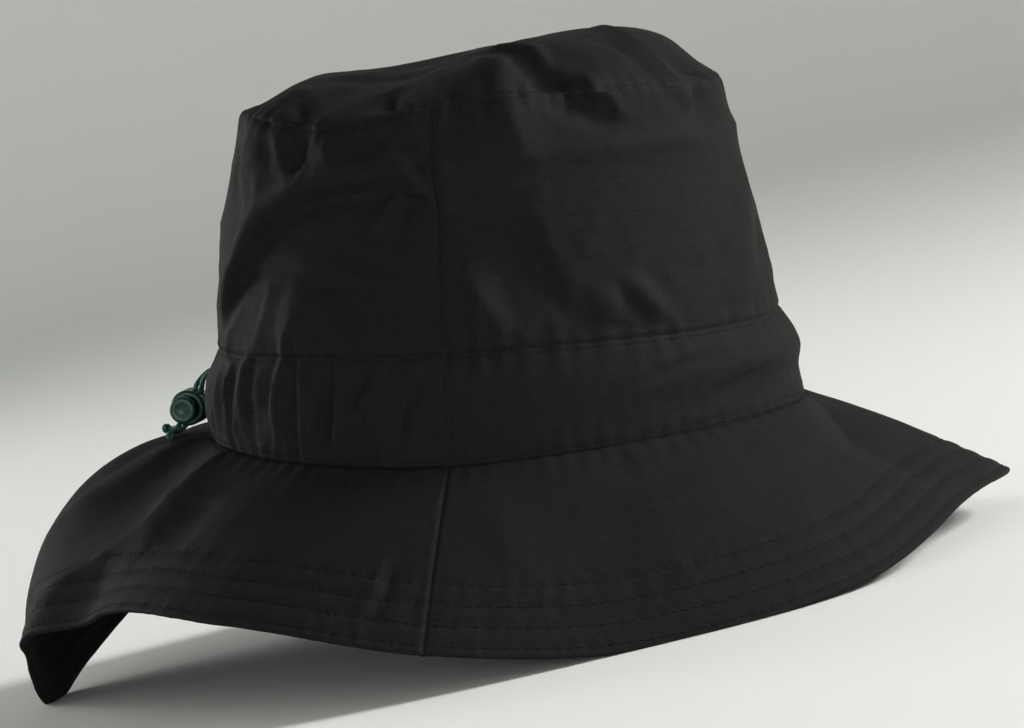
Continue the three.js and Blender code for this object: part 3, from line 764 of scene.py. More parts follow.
@dataclass(frozen=True)
class MouldedAcetal:
    """Injection-moulded acetal: deep teal, with the soft shine and faint unevenness
    of the mould."""

    name: str = "moulded_acetal"
    colour: str = "#083c35"
    roughness: float = 0.32
    specular: float = 0.42
    grain: float = 0.6
    grain_height: float = 0.015

    def material(self) -> Material:
        """Builds the plastic: a fine low grain in Object coordinates.

        Returns:
            The material.
        """
        material, shader = new_material(self.name, self.colour, self.roughness, self.specular)
        tree = material.node_tree
        place = add_node(tree, "TexCoord").outputs["Object"]
        grain = add_node(tree, "TexNoise", {"Vector": place, "Scale": 1 / (self.grain * MM)})
        raised = add_node(tree, "Bump", {
            "Height": grain.outputs["Fac"], "Distance": self.grain_height * MM,
        })
        tree.links.new(raised.outputs["Normal"], shader.inputs["Normal"])
        return material


@dataclass(frozen=True)
class MattePaper:
    """Seamless studio paper: pale, plain and matt."""

    name: str = "matt_studio_paper"
    colour: str = "#ecece9"
    roughness: float = 0.9

    def material(self) -> Material:
        """Builds the paper, even all over."""
        return new_material(self.name, self.colour, self.roughness)[0]


# --------------------------------------------------------------------- meshes


def patch(index: Array, wrap: bool = False, wrap_rows: bool = False) -> Array:
    """Four-sided faces between the neighbours of a grid of vertex numbers.

    Args:
        index: Vertex numbers, in columns and rows.
        wrap: Whether the last column joins the first.
        wrap_rows: Whether the last row joins the first.

    Returns:
        One row of four vertex numbers for each face.
    """
    if wrap:
        index = np.concatenate([index, index[:1]], axis=0)
    if wrap_rows:
        index = np.concatenate([index, index[:, :1]], axis=1)
    corners = [index[:-1, :-1], index[1:, :-1], index[1:, 1:], index[:-1, 1:]]
    return np.stack(corners, -1).reshape(-1, 4)


def lofted(x: Array, y: Array, z: Array) -> tuple[Array, Array]:
    """The points of a grid, from coordinates that broadcast, and their numbers on it."""
    points = np.stack(np.broadcast_arrays(x, y, z), -1)
    return points.reshape(-1, 3), np.arange(points[..., 0].size).reshape(points.shape[:2])


def make_object(
    name: str, points: Array, faces: list, material: Material,
    uv: tuple[str, Array] | None = None, sharp: float = 50,
) -> Object:
    """Makes a smooth object from points and faces, sharp where its faces meet steeply.

    Args:
        name: The object's name.
        points: Its vertices, in metres.
        faces: Lists of vertex numbers.
        material: Its material.
        uv: A UV map's name and the coordinates of each vertex.
        sharp: The angle between two faces, in degrees, from which an edge is sharp.

    Returns:
        The object, linked to the scene.
    """
    mesh = bpy.data.meshes.new(name)
    mesh.from_pydata(points.reshape(-1, 3).tolist(), [], faces)
    mesh.shade_smooth()
    mesh.set_sharp_from_angle(angle=math.radians(sharp))
    if uv is not None:
        layer = mesh.uv_layers.new(name=uv[0])
        corner = np.empty(len(mesh.loops), dtype=np.int32)
        mesh.loops.foreach_get("vertex_index", corner)
        layer.data.foreach_set("uv", uv[1].reshape(-1, 2)[corner].astype(np.float32).ravel())
    mesh.materials.append(material)
    obj = bpy.data.objects.new(name, mesh)
    bpy.context.collection.objects.link(obj)
    return obj


class Edge(Enum):
    """A panel's edges, each with the name of the distances to it in Place."""

    FOOT = "from_foot"
    HEAD = "from_head"
    START = "from_start"
    END = "from_end"


@dataclass(frozen=True)
class Crease:
    """A crease or a ridge along a line of angles and levels.

    depth is in millimetres, above 0 for a valley and below 0 for a ridge; width is
    its half width, lip the share of the depth that the cloth stands up beside a
    valley, and a sharp one comes to an edge. The last three are in half widths: how
    far a sharp crease reaches, how far out its lip is, and how fast that comes up.
    """

    line: tuple[tuple[float, float], ...]
    width: float
    depth: float
    lip: float = 0.3
    sharp: bool = False
    sharp_reach: float = 3.0
    lip_place: float = 2.0
    lip_rise: float = 1.5


def creases(*rows: tuple[float, ...]) -> tuple[Crease, ...]:
    """Creases from a table.

    Args:
        *rows: Width, depth, lip, 1 for a sharp one or else 0, and then the angle and
            the level of each point of the line.

    Returns:
        The creases.
    """
    lines = [tuple(zip(row[4::2], row[5::2])) for row in rows]
    return tuple(Crease(line, *row[:3], bool(row[3])) for line, row in zip(lines, rows))


@dataclass
class Place:
    """Where the points of a panel's grid are: distances to its edges and its flat cut."""

    angle: Array
    level: Array
    from_foot: Array
    from_head: Array
    from_start: Array
    from_end: Array
    flat: Array

    def inside(self, width: float) -> Array:
        """0 on the panel's edges, rising to 1 inside: 1 - exp(-(distance / width)^2)."""
        ends = np.minimum(self.from_start, self.from_end)
        return 1 - bell(np.minimum(np.minimum(self.from_foot, self.from_head), ends), width)


@dataclass(frozen=True)
class Pucker:
    """Small uneven waves along a seam: a sum of whole-numbered sines round the head,
    so that both panels of a seam get the same waves.

    The reach is how far the waves go from the seam, and the counts are the fewest
    and the most waves in a full turn.
    """

    seed: int
    height: float
    reach: float
    counts: tuple[int, int] = (38, 92)
    number: int = 7
    shares: tuple[float, float] = (0.2, 0.5)

    def waves(self, angle: Array) -> Array:
        """The sum of the sines.

        Args:
            angle: Angles, in degrees.

        Returns:
            Heights from about -1 to 1.
        """
        rng = np.random.default_rng(self.seed)
        total = np.zeros_like(angle)
        for count in rng.integers(*self.counts, self.number):
            wave = np.sin(np.radians(angle) * count + rng.uniform(0, 2 * np.pi))
            total = total + wave * rng.uniform(*self.shares)
        return total

    def relief(self, angle: Array, distance: Array) -> Array:
        """The waves times a bell of the distance to their seam, in millimetres."""
        return self.height * self.waves(angle) * bell(distance, self.reach)


@dataclass(frozen=True)
class Crumple:
    """Soft crossing creases: for each wavelength, ridges (1 - |sin|)^2 in a few seeded
    directions, bent by a slower wave, and fading out in patches.

    The wavelengths are the distances between creases, the height is that of the
    longest ones, and the inset is how far they fade towards the panel's edges. The
    lengths of sway and patches are in wavelengths.
    """

    seed: int
    wavelengths: tuple[float, ...]
    height: float
    inset: float
    directions: int = 4
    sway: float = 1.1
    sway_length: float = 1.7
    patch_slant: float = 0.4
    patch_length: float = 2.6
    mean: float = 0.23

    def relief(self, place: Place) -> Array:
        """The creases on a panel.

        Args:
            place: Where its points are.

        Returns:
            Heights about 0, in millimetres.
        """
        rng = np.random.default_rng(self.seed)
        x, y = place.flat[..., 0], place.flat[..., 1]
        total = np.zeros_like(x)
        for wavelength in self.wavelengths:
            share = wavelength / self.wavelengths[0]
            for _ in range(self.directions):
                heading, phase, sway = rng.uniform(0, 2 * np.pi, 3)
                across = x * np.cos(heading) + y * np.sin(heading)
                along = y * np.cos(heading) - x * np.sin(heading)
                slow = np.sin(np.pi * along / (self.sway_length * wavelength) + sway)
                bent = np.pi * across / wavelength + phase + self.sway * slow
                slanted = np.pi * (along + self.patch_slant * across)
                patchy = 0.5 + 0.5 * np.sin(slanted / (self.patch_length * wavelength) + phase * 2)
                total = total + share * patchy * ((1 - np.abs(np.sin(bent))) ** 2 - self.mean)
        return total * self.height / 2 * place.inside(self.inset)


@dataclass
class Panel:
    """A sewn panel of cloth: a surface on a grid, raised and lowered by its relief,
    with a wall's thickness and closed edges. It replaces the node of its name."""

    name: str
    hat: Hat
    surface: Surface
    flatten: Callable[[Array, Array], Array]
    angles: Array
    levels: Array
    wall: float
    relief: Callable[[Place], Array]
    foot: Seam | None = None
    head: Seam | None = None
    creases: tuple[Crease, ...] = ()
    closed: bool = False
    nose: bool = False
    # how far in a seam's shared direction reaches, and the steepest slant it may take
    seam_reach: float = 3.0
    least_slant: float = 0.5
    # the angles of the turned edge's points, from the inner face to the outer one
    nose_angles: tuple[float, ...] = (150, 120, 90, 60, 30)
    points: Array = field(init=False)
    facing: Array = field(init=False)
    inner: Array = field(init=False)
    place: Place = field(init=False)

    def __post_init__(self) -> None:
        """Works out the panel's two faces."""
        angle = np.broadcast_to(self.angles[:, None], self.levels.shape).astype(float)
        base = self.surface(angle, self.levels)
        facing = self.grid_normals(base)
        up, across = run_along(base, 1), run_along(base, 0)
        far = np.full_like(up, FAR)
        self.place = Place(
            angle, self.levels, up, up[:, -1:] - up,
            far if self.closed else across, far if self.closed else across[-1:] - across,
            self.flatten(angle, self.levels),
        )
        if self.closed:
            self.place.from_head = far
        cut = facing
        for seam, distance in ((self.foot, self.place.from_foot), (self.head, self.place.from_head)):
            if seam is not None:
                weight = bell(distance, self.seam_reach)[..., None]
                cut = unit(cut * (1 - weight) + seam(self.angles)[:, None, :] * weight)
        height = self.relief(self.place) - self.creased()
        self.points = base + cut * height[..., None]
        slant = np.maximum((cut * facing).sum(-1, keepdims=True), self.least_slant)
        self.inner = self.points - cut * self.wall / slant
        self.facing = self.grid_normals(self.points)

    def grid_normals(self, grid: Array) -> Array:
        """Outward direction at each point of the grid, from its neighbours.

        Args:
            grid: The points.

        Returns:
            Unit vectors.
        """
        if self.closed:
            wide = np.concatenate([grid[-1:], grid, grid[:1]], axis=0)
            across = np.gradient(wide, axis=0)[1:-1]
        else:
            across = np.gradient(grid, axis=0)
        return unit(np.cross(across, np.gradient(grid, axis=1)))

    def creased(self) -> Array:
        """Depth of the listed creases. A crease is a bell of the distance to its line
        on the flat cut, or (1 - distance / reach)^2 where it is sharp, and its lip a
        second bell on the left of that line.

        Returns:
            The depth at each point of the grid.
        """
        total = np.zeros_like(self.levels)
        for crease in self.creases:
            stops = np.array(crease.line)
            marks = self.flatten(stops[:, 0], stops[:, 1])
            best = np.full_like(total, np.inf)
            beside = np.zeros_like(total)
            for start, end in zip(marks[:-1], marks[1:]):
                step = end - start
                way = self.place.flat - start
                t = np.clip((way @ step) / (step @ step), 0, 1)
                gap = np.linalg.norm(way - t[..., None] * step, axis=-1)
                left = (step[0] * way[..., 1] - step[1] * way[..., 0]) / np.linalg.norm(step)
                beside = np.where(gap < best, left, beside)
                best = np.minimum(gap, best)
            tips = [np.linalg.norm(self.place.flat - mark, axis=-1) for mark in (marks[0], marks[-1])]
            reach = crease.sharp_reach * crease.width
            ends = smoothstep(np.minimum(*tips), -crease.width, reach)
            lip = bell(best - crease.lip_place * crease.width, crease.width)
            lip = lip * smoothstep(beside / crease.width, 0, crease.lip_rise)
            pointed = np.maximum(1 - best / reach, 0) ** 2
            shape = pointed if crease.sharp else bell(best, crease.width)
            total += crease.depth * ends * (shape - crease.lip * lip)
        return total

    def build(self, material: Material) -> Object:
        """Makes the panel's closed shell and puts it in place of its nodes.

        Args:
            material: The cloth.

        Returns:
            The object.
        """
        columns, rows = self.levels.shape
        flat = self.place.flat
        outer, inner = self.points, self.inner
        if self.closed:
            points = np.concatenate([outer.reshape(-1, 3), inner.reshape(-1, 3)])
            cuts = np.concatenate([flat.reshape(-1, 2), flat.reshape(-1, 2)])
            index = np.arange(columns * rows).reshape(columns, rows)
            count = columns * rows
            ring = np.stack([index[:, 0] + count, index[:, 0]], 1)
            face = patch(index, wrap=True)
            faces = np.concatenate([face, face[:, ::-1] + count, patch(ring, wrap=True)]).tolist()
            faces += [index[:, -1].tolist(), (index[::-1, -1] + count).tolist()]
        else:
            loop = [outer, inner[:, ::-1]]
            cuts_loop = [flat, flat[:, ::-1]]
            if self.nose:
                rounding, cut_rounding = self.rounded_edge()
                loop.append(rounding)
                cuts_loop.append(cut_rounding)
            points = np.concatenate(loop, axis=1)
            cuts = np.concatenate(cuts_loop, axis=1)
            around = points.shape[1]
            index = np.arange(columns * around).reshape(columns, around)
            faces = patch(index, wrap_rows=True).tolist()
            for column, flip in ((0, True), (columns - 1, False)):
                pairs = np.stack([index[column, :rows], index[column, rows : 2 * rows][::-1]], 0)
                end = patch(pairs)
                faces += (end[:, ::-1] if flip else end).tolist()
                if self.nose:
                    cap = [index[column, 0], *index[column, 2 * rows - 1 :]]
                    faces.append([int(v) for v in (cap if flip else cap[::-1])])
        obj = make_object(self.name, self.hat.to_world(points), faces, material, ("cloth", cuts * MM))
        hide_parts(self.name)
        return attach(obj, "hat")

    def rounded_edge(self) -> tuple[Array, Array]:
        """The brim's turned edge: a half circle from the inner face round to the outer
        one, in the plane of the wall and the way out.

        Returns:
            Its points and their places on the flat cut.
        """
        outer, inner = self.points[:, 0], self.inner[:, 0]
        middle = (outer + inner) / 2
        up = (outer - inner) / 2
        out = unit(self.points[:, 0] - self.points[:, 1]) * self.wall / 2
        swing = np.radians(np.array(self.nose_angles))[:, None]
        points = middle[:, None] + up[:, None] * np.cos(swing) + out[:, None] * np.sin(swing)
        cuts = np.repeat(self.place.flat[:, :1], len(swing), axis=1)
        return points, cuts

    def seam_line(self, edge: Edge, distance: float) -> tuple[Array, Array]:
        """A line on the outer face at a distance from one of the panel's edges.

        Args:
            edge: The edge.
            distance: Distance from that edge, in millimetres.

        Returns:
            The line's points and the outward directions there.
        """
        points, facing = self.points, self.facing
        run = getattr(self.place, edge.value)
        if edge in (Edge.START, Edge.END):
            points, facing, run = points.swapaxes(0, 1), facing.swapaxes(0, 1), run.T
        if edge in (Edge.HEAD, Edge.END):
            points, facing, run = points[:, ::-1], facing[:, ::-1], run[:, ::-1]
        i = np.clip((run < distance).sum(1) - 1, 0, run.shape[1] - 2)
        row = np.arange(len(i))
        share = ((distance - run[row, i]) / (run[row, i + 1] - run[row, i]))[:, None]
        line = points[row, i] * (1 - share) + points[row, i + 1] * share
        return line, unit(facing[row, i] * (1 - share) + facing[row, i + 1] * share)


@dataclass
class Stitching:
    """Lockstitches: short thick threads that dip into the cloth at both ends."""

    name: str
    hat: Hat
    length: float = 2.4
    space: float = 0.9
    radius: float = 0.19
    lift: float = 0.05
    dip: float = 0.20
    # a thread's rings: their places along it and their sizes, as shares
    places: tuple[float, ...] = (-0.5, -0.36, 0.36, 0.5)
    sizes: tuple[float, ...] = (0.45, 1, 1, 0.45)
    sides: int = 6
    sharp: float = 70
    rows: list = field(default_factory=list)

    def row(self, line: Array, facing: Array, closed: bool = False, trim: float = 1.5) -> None:
        """Adds stitches along a line at an even spacing.

        Args:
            line: The line's points.
            facing: The outward direction at each.
            closed: Whether the line is a ring.
            trim: Length left bare at each end.
        """
        if closed:
            line, facing, trim = np.concatenate([line, line[:1]]), np.concatenate([facing, facing[:1]]), 0
        run = run_along(line, 0)
        count = int((run[-1] - 2 * trim) / (self.length + self.space))
        if count < 1:
            return
        at = trim + (np.arange(count) + 0.5) * (run[-1] - 2 * trim) / count

        def along(values: Array, where: Array) -> Array:
            """The values at the given lengths along the line."""
            return np.stack([np.interp(where, run, values[:, k]) for k in range(3)], -1)

        ahead = unit(along(line, at + 1) - along(line, at - 1))
        out = along(facing, at)
        out = unit(out - ahead * (out * ahead).sum(-1, keepdims=True))
        self.rows.append((along(line, at), ahead, out))

    def build(self, material: Material) -> Object:
        """Makes all the stitches as one mesh: six-sided threads of four rings.

        Args:
            material: The thread.

        Returns:
            The object.
        """
        parts = (np.concatenate(part)[:, None, None] for part in zip(*self.rows))
        centre, ahead, out = parts
        aside = np.cross(out, ahead)
        x = np.array(self.places)[:, None, None] * self.length
        radius = np.array(self.sizes)[:, None, None] * self.radius
        height = np.array([-self.dip, self.lift, self.lift, -self.dip])[:, None, None]
        swing = (np.arange(self.sides) * 2 * np.pi / self.sides)[None, :, None]
        ring = centre + ahead * x + out * (height + radius * np.sin(swing)) + aside * radius * np.cos(swing)
        index = np.arange(ring[..., 0].size).reshape(ring.shape[:-1])
        closed = np.concatenate([index, index[:, :, :1]], 2)
        quads = [closed[:, :-1, :-1], closed[:, :-1, 1:], closed[:, 1:, 1:], closed[:, 1:, :-1]]
        faces = np.stack(quads, -1).reshape(-1, 4).tolist()
        faces += index[:, 0].tolist() + index[:, -1, ::-1].tolist()
        obj = make_object(self.name, self.hat.to_world(ring, floor=False), faces, material, sharp=self.sharp)
        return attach(obj, "hat")


# ------------------------------------------------------------- sub-assemblies


@dataclass
class SewnPart:
    """What the crown, the band and the brim share: panels with sunk seams, felled seam
    allowances and puckers, and their rows of stitches."""

    hat: Hat
    name: str = ""
    column: float = FINE
    row: float = FINE
    mean_radius: float = 93.0
    seam_width: float = 0.8
    seam_depth: float = 0.6
    topstitch: float = 2.0
    groove_width: float = 0.7
    # a seam allowance's width and height, and the widths of its outer and inner step
    fell: float = 7.0
    fell_rise: float = 0.2
    fell_steps: tuple[float, float] = (1.5, 1.2)
    # how many degrees of a pucker's waves one level up a side seam stands for
    climb: float = 500
    side_inset: float = 2
    panels: list[Panel] = field(default_factory=list)
    stitching: Stitching = field(init=False)

    def __post_init__(self) -> None:
        """Makes an empty set of stitches."""
        self.stitching = Stitching(self.name + "_stitching", self.hat)

    def columns(self, radius: float) -> int:
        """How many columns half a turn has at a radius."""
        return int(np.pi * radius / self.column)

    def sunk(self, across: Array, ends: Array) -> Array:
        """Depth of the seams: a bell of the distance to each, at most 1 where two meet."""
        seams = bell(across, self.seam_width) + bell(ends, self.seam_width)
        return self.seam_depth * np.minimum(seams, 1)

    def allowance(self, distance: Array) -> Array:
        """Height of a felled seam allowance: a step up at its seam, one down at its edge."""
        outer, inner = self.fell_steps
        return self.fell_rise * smoothstep(self.fell - distance, 0, outer) * smoothstep(distance, 0, inner)

    def strip_cut(self, centre: float, base: float, height: float) -> Surface:
        """The flat cut of half a strip round the head: length round it and height.

        Args:
            centre: The half's middle angle.
            base: The level of its foot.
            height: Its height in millimetres.

        Returns:
            A function from angles and levels to flat points.
        """

        def flatten(angle: Array, level: Array) -> Array:
            """Length round from the middle, and height, in millimetres."""
            x = turn(angle, centre) * np.radians(1) * self.mean_radius
            return np.stack([x, (level - base) * height], -1)

        return flatten

    def add_strip(
        self, names: tuple[str, str], base: float, height: float, **cloth: object,
    ) -> None:
        """Adds the front and the back half of a strip one level high.

        Args:
            names: The names of the halves.
            base: The level of the strip's foot.
            height: Its height in millimetres.
            **cloth: The panels' wall, relief, seams and creases.
        """
        columns, rows = self.columns(self.mean_radius), int(height / self.row)
        levels = np.broadcast_to(base + crowd(rows, TO_SEAMS), (columns + 1, rows + 1))
        for name, start, centre in zip(names, (-90, 90), (0, 180)):
            self.panels.append(Panel(
                name, self.hat, self.hat.side, self.strip_cut(centre, base, height),
                start + 180 * crowd(columns, TO_SEAMS), levels.copy(), **cloth,
            ))

    def assemble(self) -> None:
        """Makes the panels and the rows of stitches."""

    def build(self, cloth: Material, thread: Material) -> list[Object]:
        """Builds the panels and the stitches.

        Args:
            cloth: The cloth.
            thread: The thread.

        Returns:
            The objects.
        """
        self.assemble()
        return [panel.build(cloth) for panel in self.panels] + [self.stitching.build(thread)]


@dataclass
class Crown(SewnPart):
    """The crown: a top panel and a side in two halves, with felled seams."""

    name: str = "crown"
    column: float = 1.25 * FINE
    row: float = 1.2 * FINE
    mean_radius: float = 88.0
    tip_seam_depth: float = 0.40
    side_groove: float = 0.22
    tip_groove: float = 0.14
    # how near the tip's rings come to its middle, and how they crowd to its seam
    tip_end: float = 0.985
    tip_crowding: float = 0.35
    tip_pucker: Pucker = Pucker(3, 0.34, 7)
    band_pucker: Pucker = Pucker(5, 0.442, 8)
    side_pucker: Pucker = Pucker(11, 0.18, 6, (20, 60))
    side_crumple: Crumple = Crumple(17, (64, 34, 18, 9), 1.0, 9)
    tip_crumple: Crumple = Crumple(23, (70, 38, 20, 10), 0.75, 10)
    side_creases: tuple[Crease, ...] = creases(
        (2.8, -2.6, 0, 1, -104, 1.91, -97, 1.77, -93.5, 1.69, -89.5, 1.62),
        (3, 1.8, 0, 0, -97, 1.86, -92, 1.76, -89, 1.7),
        (2.8, -2.6, 0, 1, -90, 1.67, -96, 1.68, -102, 1.64, -105, 1.56, -105.5, 1.45),
        (3.4, 2.2, 0, 0, -92, 1.61, -98, 1.62, -101, 1.56, -101.5, 1.48),
        (2.4, -1.5, 0, 1, -126, 1.98, -125.6, 1.92, -126.5, 1.81, -129, 1.72),
        (2.4, -1, 0, 1, -139, 1.97, -137.5, 1.89, -134, 1.79, -129, 1.72),
        (2.4, -1.1, 0, 1, -119.6, 2, -119.6, 1.99, -120.5, 1.85),
        (3, 1, 0, 0, -143, 1.95, -141.5, 1.87, -138, 1.8),
        (2.8, -1, 0, 1, -122.5, 1.94, -119, 1.88, -113, 1.81),
        (2.2, 1.1, 0.2, 0, -150, 2, -139, 1.99, -131, 2, -123, 2),
        (3.2, 0.9, 0.4, 0, -113, 2.02, -112, 1.96, -108, 1.85),
        (2.6, -0.9, 0, 1, -146, 1.81, -143, 1.71, -146, 1.59),
        (3.2, 1, 0.4, 0, -155, 1.9, -156, 1.74, -152, 1.62),
        (2.6, 0.8, 0.5, 1, -75.5, 2.03, -75, 1.95, -74, 1.9, -71.5, 1.8),
        (3, 0.7, 0.4, 0, -85, 2.03, -83, 1.93, -80, 1.86),
        (5, -1.4, 0, 0, -72, 2.3, -70.5, 2.03, -69, 1.88, -67, 1.7),
        (5, -1.7, 0, 0, -67, 2.03, -67, 1.95, -64, 1.86),
        (3, 3, 0.5, 1, -57, 2.03, -51.2, 1.99, -46, 1.92),
        (2.8, -1.5, 0, 1, -22, 2.03, -20.5, 1.96, -16, 1.88, -13, 1.8),
        (3, 0.9, 0, 0, -27, 2.03, -25, 1.95, -22, 1.88),
        (2.6, -0.6, 0, 1, -84.5, 1.38, -80, 1.21, -76.5, 1.06, -75, 0.95),
        (3, 0.7, 0.3, 0, -64, 1.3, -60, 1.15, -58, 1.02),
        (2.4, -0.6, 0, 1, -46, 1.26, -43, 1.16, -39, 1.05, -37, 0.95),
        (2.6, 0.6, 0, 0, -41, 1.27, -37, 1.16, -34, 1.06),
        (2.6, -1.3, 0, 1, -138.5, 1.34, -139.3, 1.16, -142, 1, -144, 0.93),
        (2.6, 0.4, 0, 0, -133.5, 1.31, -134.5, 1.14, -137, 1, -138, 0.93),
        (2.4, -1.1, 0, 1, -127.5, 1.22, -129, 1.12, -131, 1, -132.5, 0.93),
        (2.4, -1.2, 0, 1, -150, 1.24, -153, 1.1, -155, 1, -156, 0.93),
        (2.6, 1, 0.3, 0, -122, 1.16, -120.5, 1.06, -119, 0.95),
        (2.4, -0.7, 0, 1, -112, 1.13, -108, 1.05, -105, 0.96),
        (2.2, 0.7, 0.5, 0, -152, 1.31, -136, 1.36, -124, 1.33),
        (2, 0.7, 0.5, 0, -142, 1.25, -122, 1.29, -106, 1.26),
        (2.4, 0.7, 0.5, 0, -120, 1.45, -108, 1.37, -97, 1.33),
        (2.6, 0.6, 0.4, 0, -140, 1.51, -128, 1.49, -116, 1.52),
        (3.4, -0.6, 0, 1, 8, 1.08, 2, 1.35, -3, 1.7),
        (4, 0.5, 0.3, 0, -25, 1.12, -20, 1.3, -22, 1.55),
        (3.2, 1.1, 0.5, 1, 40, 1.95, 47, 1.75, 44, 1.5),
        (3, -1.1, 0, 1, 70, 2.02, 66, 1.85, 72, 1.68),
        (3.6, 1.4, 0.5, 1, 100, 1.95, 112, 1.72, 130, 1.62, 146, 1.68),
        (2.8, -1.2, 0, 1, 128, 1.3, 134, 1.14, 136, 0.95),
        (2.6, -1.2, 0, 1, 150, 1.34, 148, 1.15, 147, 0.95),
        (2.6, -1.1, 0, 1, 166, 1.28, 167, 1.12, 168, 0.95),
        (2.6, -1.1, 0, 1, -170, 1.3, -169, 1.12, -168, 0.95),
        (3, -1.2, 0, 1, 172, 2.02, 176, 1.86, -178, 1.72),
    )
    tip_creases: tuple[Crease, ...] = creases(
        (3.4, -2, 0, 1, -4, 0.5, -18, 0.22, -21.8, 0.05, -22, -0.03),
        (3.6, 1.2, 0, 0, -30, 0.3, -28, 0.1, -27, -0.03),
        (3.6, 3.4, 0.7, 1, -68, 0.32, -61.5, 0.12, -55.5, 0.025, -53, -0.03),
        (2.6, 0.7, 0.4, 1, -73, 0.24, -75.5, 0.065, -75.5, -0.03),
        (5, -1.4, 0, 0, -78, 0.4, -73, 0.15, -70.5, -0.03, -68, -0.3),
        (3, 0.9, 0.3, 0, -92, 0.22, -88, 0.1, -85, -0.03),
        (2.4, -1.4, 0, 1, -124, 0.16, -121.5, 0.05, -119.6, -0.03),
        (2.4, 1.5, 0.4, 0, -108, 0.2, -101, 0.04, -99, -0.03),
        (2.8, 1.5, 0.4, 0, -142, 0.12, -133, 0.05, -129, -0.02),
        (4, 1, 0.3, 0, 60, 0.2, 30, 0.4, -10, 0.55),
        (4, 1.2, 0.3, 0, 150, 0.1, 120, 0.4, 100, 0.7),
        (4, 0.9, 0.3, 0, -150, 0.3, -120, 0.45, -90, 0.4),
    )

    def flat_tip(self, angle: Array, level: Array) -> Array:
        """The flat cut of the tip: its plan."""
        return self.hat.tip(angle, level)[..., :2]

    def side_relief(self, place: Place) -> Array:
        """Relief of the side: sunk seams with puckers along them, the felled seam
        allowances beside the side seams and under the tip, and soft creases.

        Args:
            place: Where the points are.

        Returns:
            Heights in millimetres.
        """
        ends = np.minimum(place.from_start, place.from_end)
        height = -self.sunk(place.from_foot, ends)
        height -= self.tip_seam_depth * bell(place.from_head, self.seam_width)
        if place.angle[0, 0] < 0:
            groove = self.side_groove * bell(ends - self.topstitch, self.groove_width)
            height += self.allowance(ends) - groove
        height += self.tip_pucker.relief(place.angle, place.from_head)
        height += self.band_pucker.relief(place.angle, place.from_foot)
        up_seam = self.side_pucker.relief(place.level * self.climb, ends)
        height += up_seam * place.inside(self.side_inset)
        return height + self.side_crumple.relief(place)

    def tip_relief(self, place: Place) -> Array:
        """Relief of the tip: its sunk seam with puckers, a topstitched fell inside the
        seam, and soft creases.

        Args:
            place: Where the points are.

        Returns:
            Heights in millimetres.
        """
        height = -self.tip_seam_depth * bell(place.from_foot, self.seam_width)
        height += self.allowance(place.from_foot)
        height -= self.tip_groove * bell(place.from_foot - self.topstitch, self.groove_width)
        height += self.tip_pucker.relief(place.angle, place.from_foot)
        return height + self.tip_crumple.relief(place)

    def assemble(self) -> None:
        """Makes the crown's panels and stitches."""
        hat = self.hat
        tip_seam = hat.mitre(hat.side, 2.0, hat.tip, 0.0)
        band_seam = hat.mitre(hat.side, 1.0, hat.side, 1.0)
        self.add_strip(
            ("crown_side_front", "crown_side_back"), 1, hat.crown_height, wall=hat.crown_wall,
            relief=self.side_relief, foot=band_seam, head=tip_seam, creases=self.side_creases,
        )
        ring = 2 * self.columns(self.mean_radius)
        inward = np.linspace(0, self.tip_end, int(0.5 * hat.head_width * hat.tip_reach / self.row))
        inward = inward - self.tip_crowding * np.sin(np.pi * inward) / np.pi
        self.panels.append(Panel(
            "crown_tip", hat, hat.tip, self.flat_tip, np.linspace(-180, 180, ring, endpoint=False),
            np.broadcast_to(inward, (ring, len(inward))).copy(), hat.crown_wall, self.tip_relief,
            foot=tip_seam, creases=self.tip_creases, closed=True,
        ))
        front, _, tip = self.panels
        self.stitching.row(*tip.seam_line(Edge.FOOT, self.topstitch), closed=True)
        for edge in (Edge.START, Edge.END):
            self.stitching.row(*front.seam_line(edge, self.topstitch))


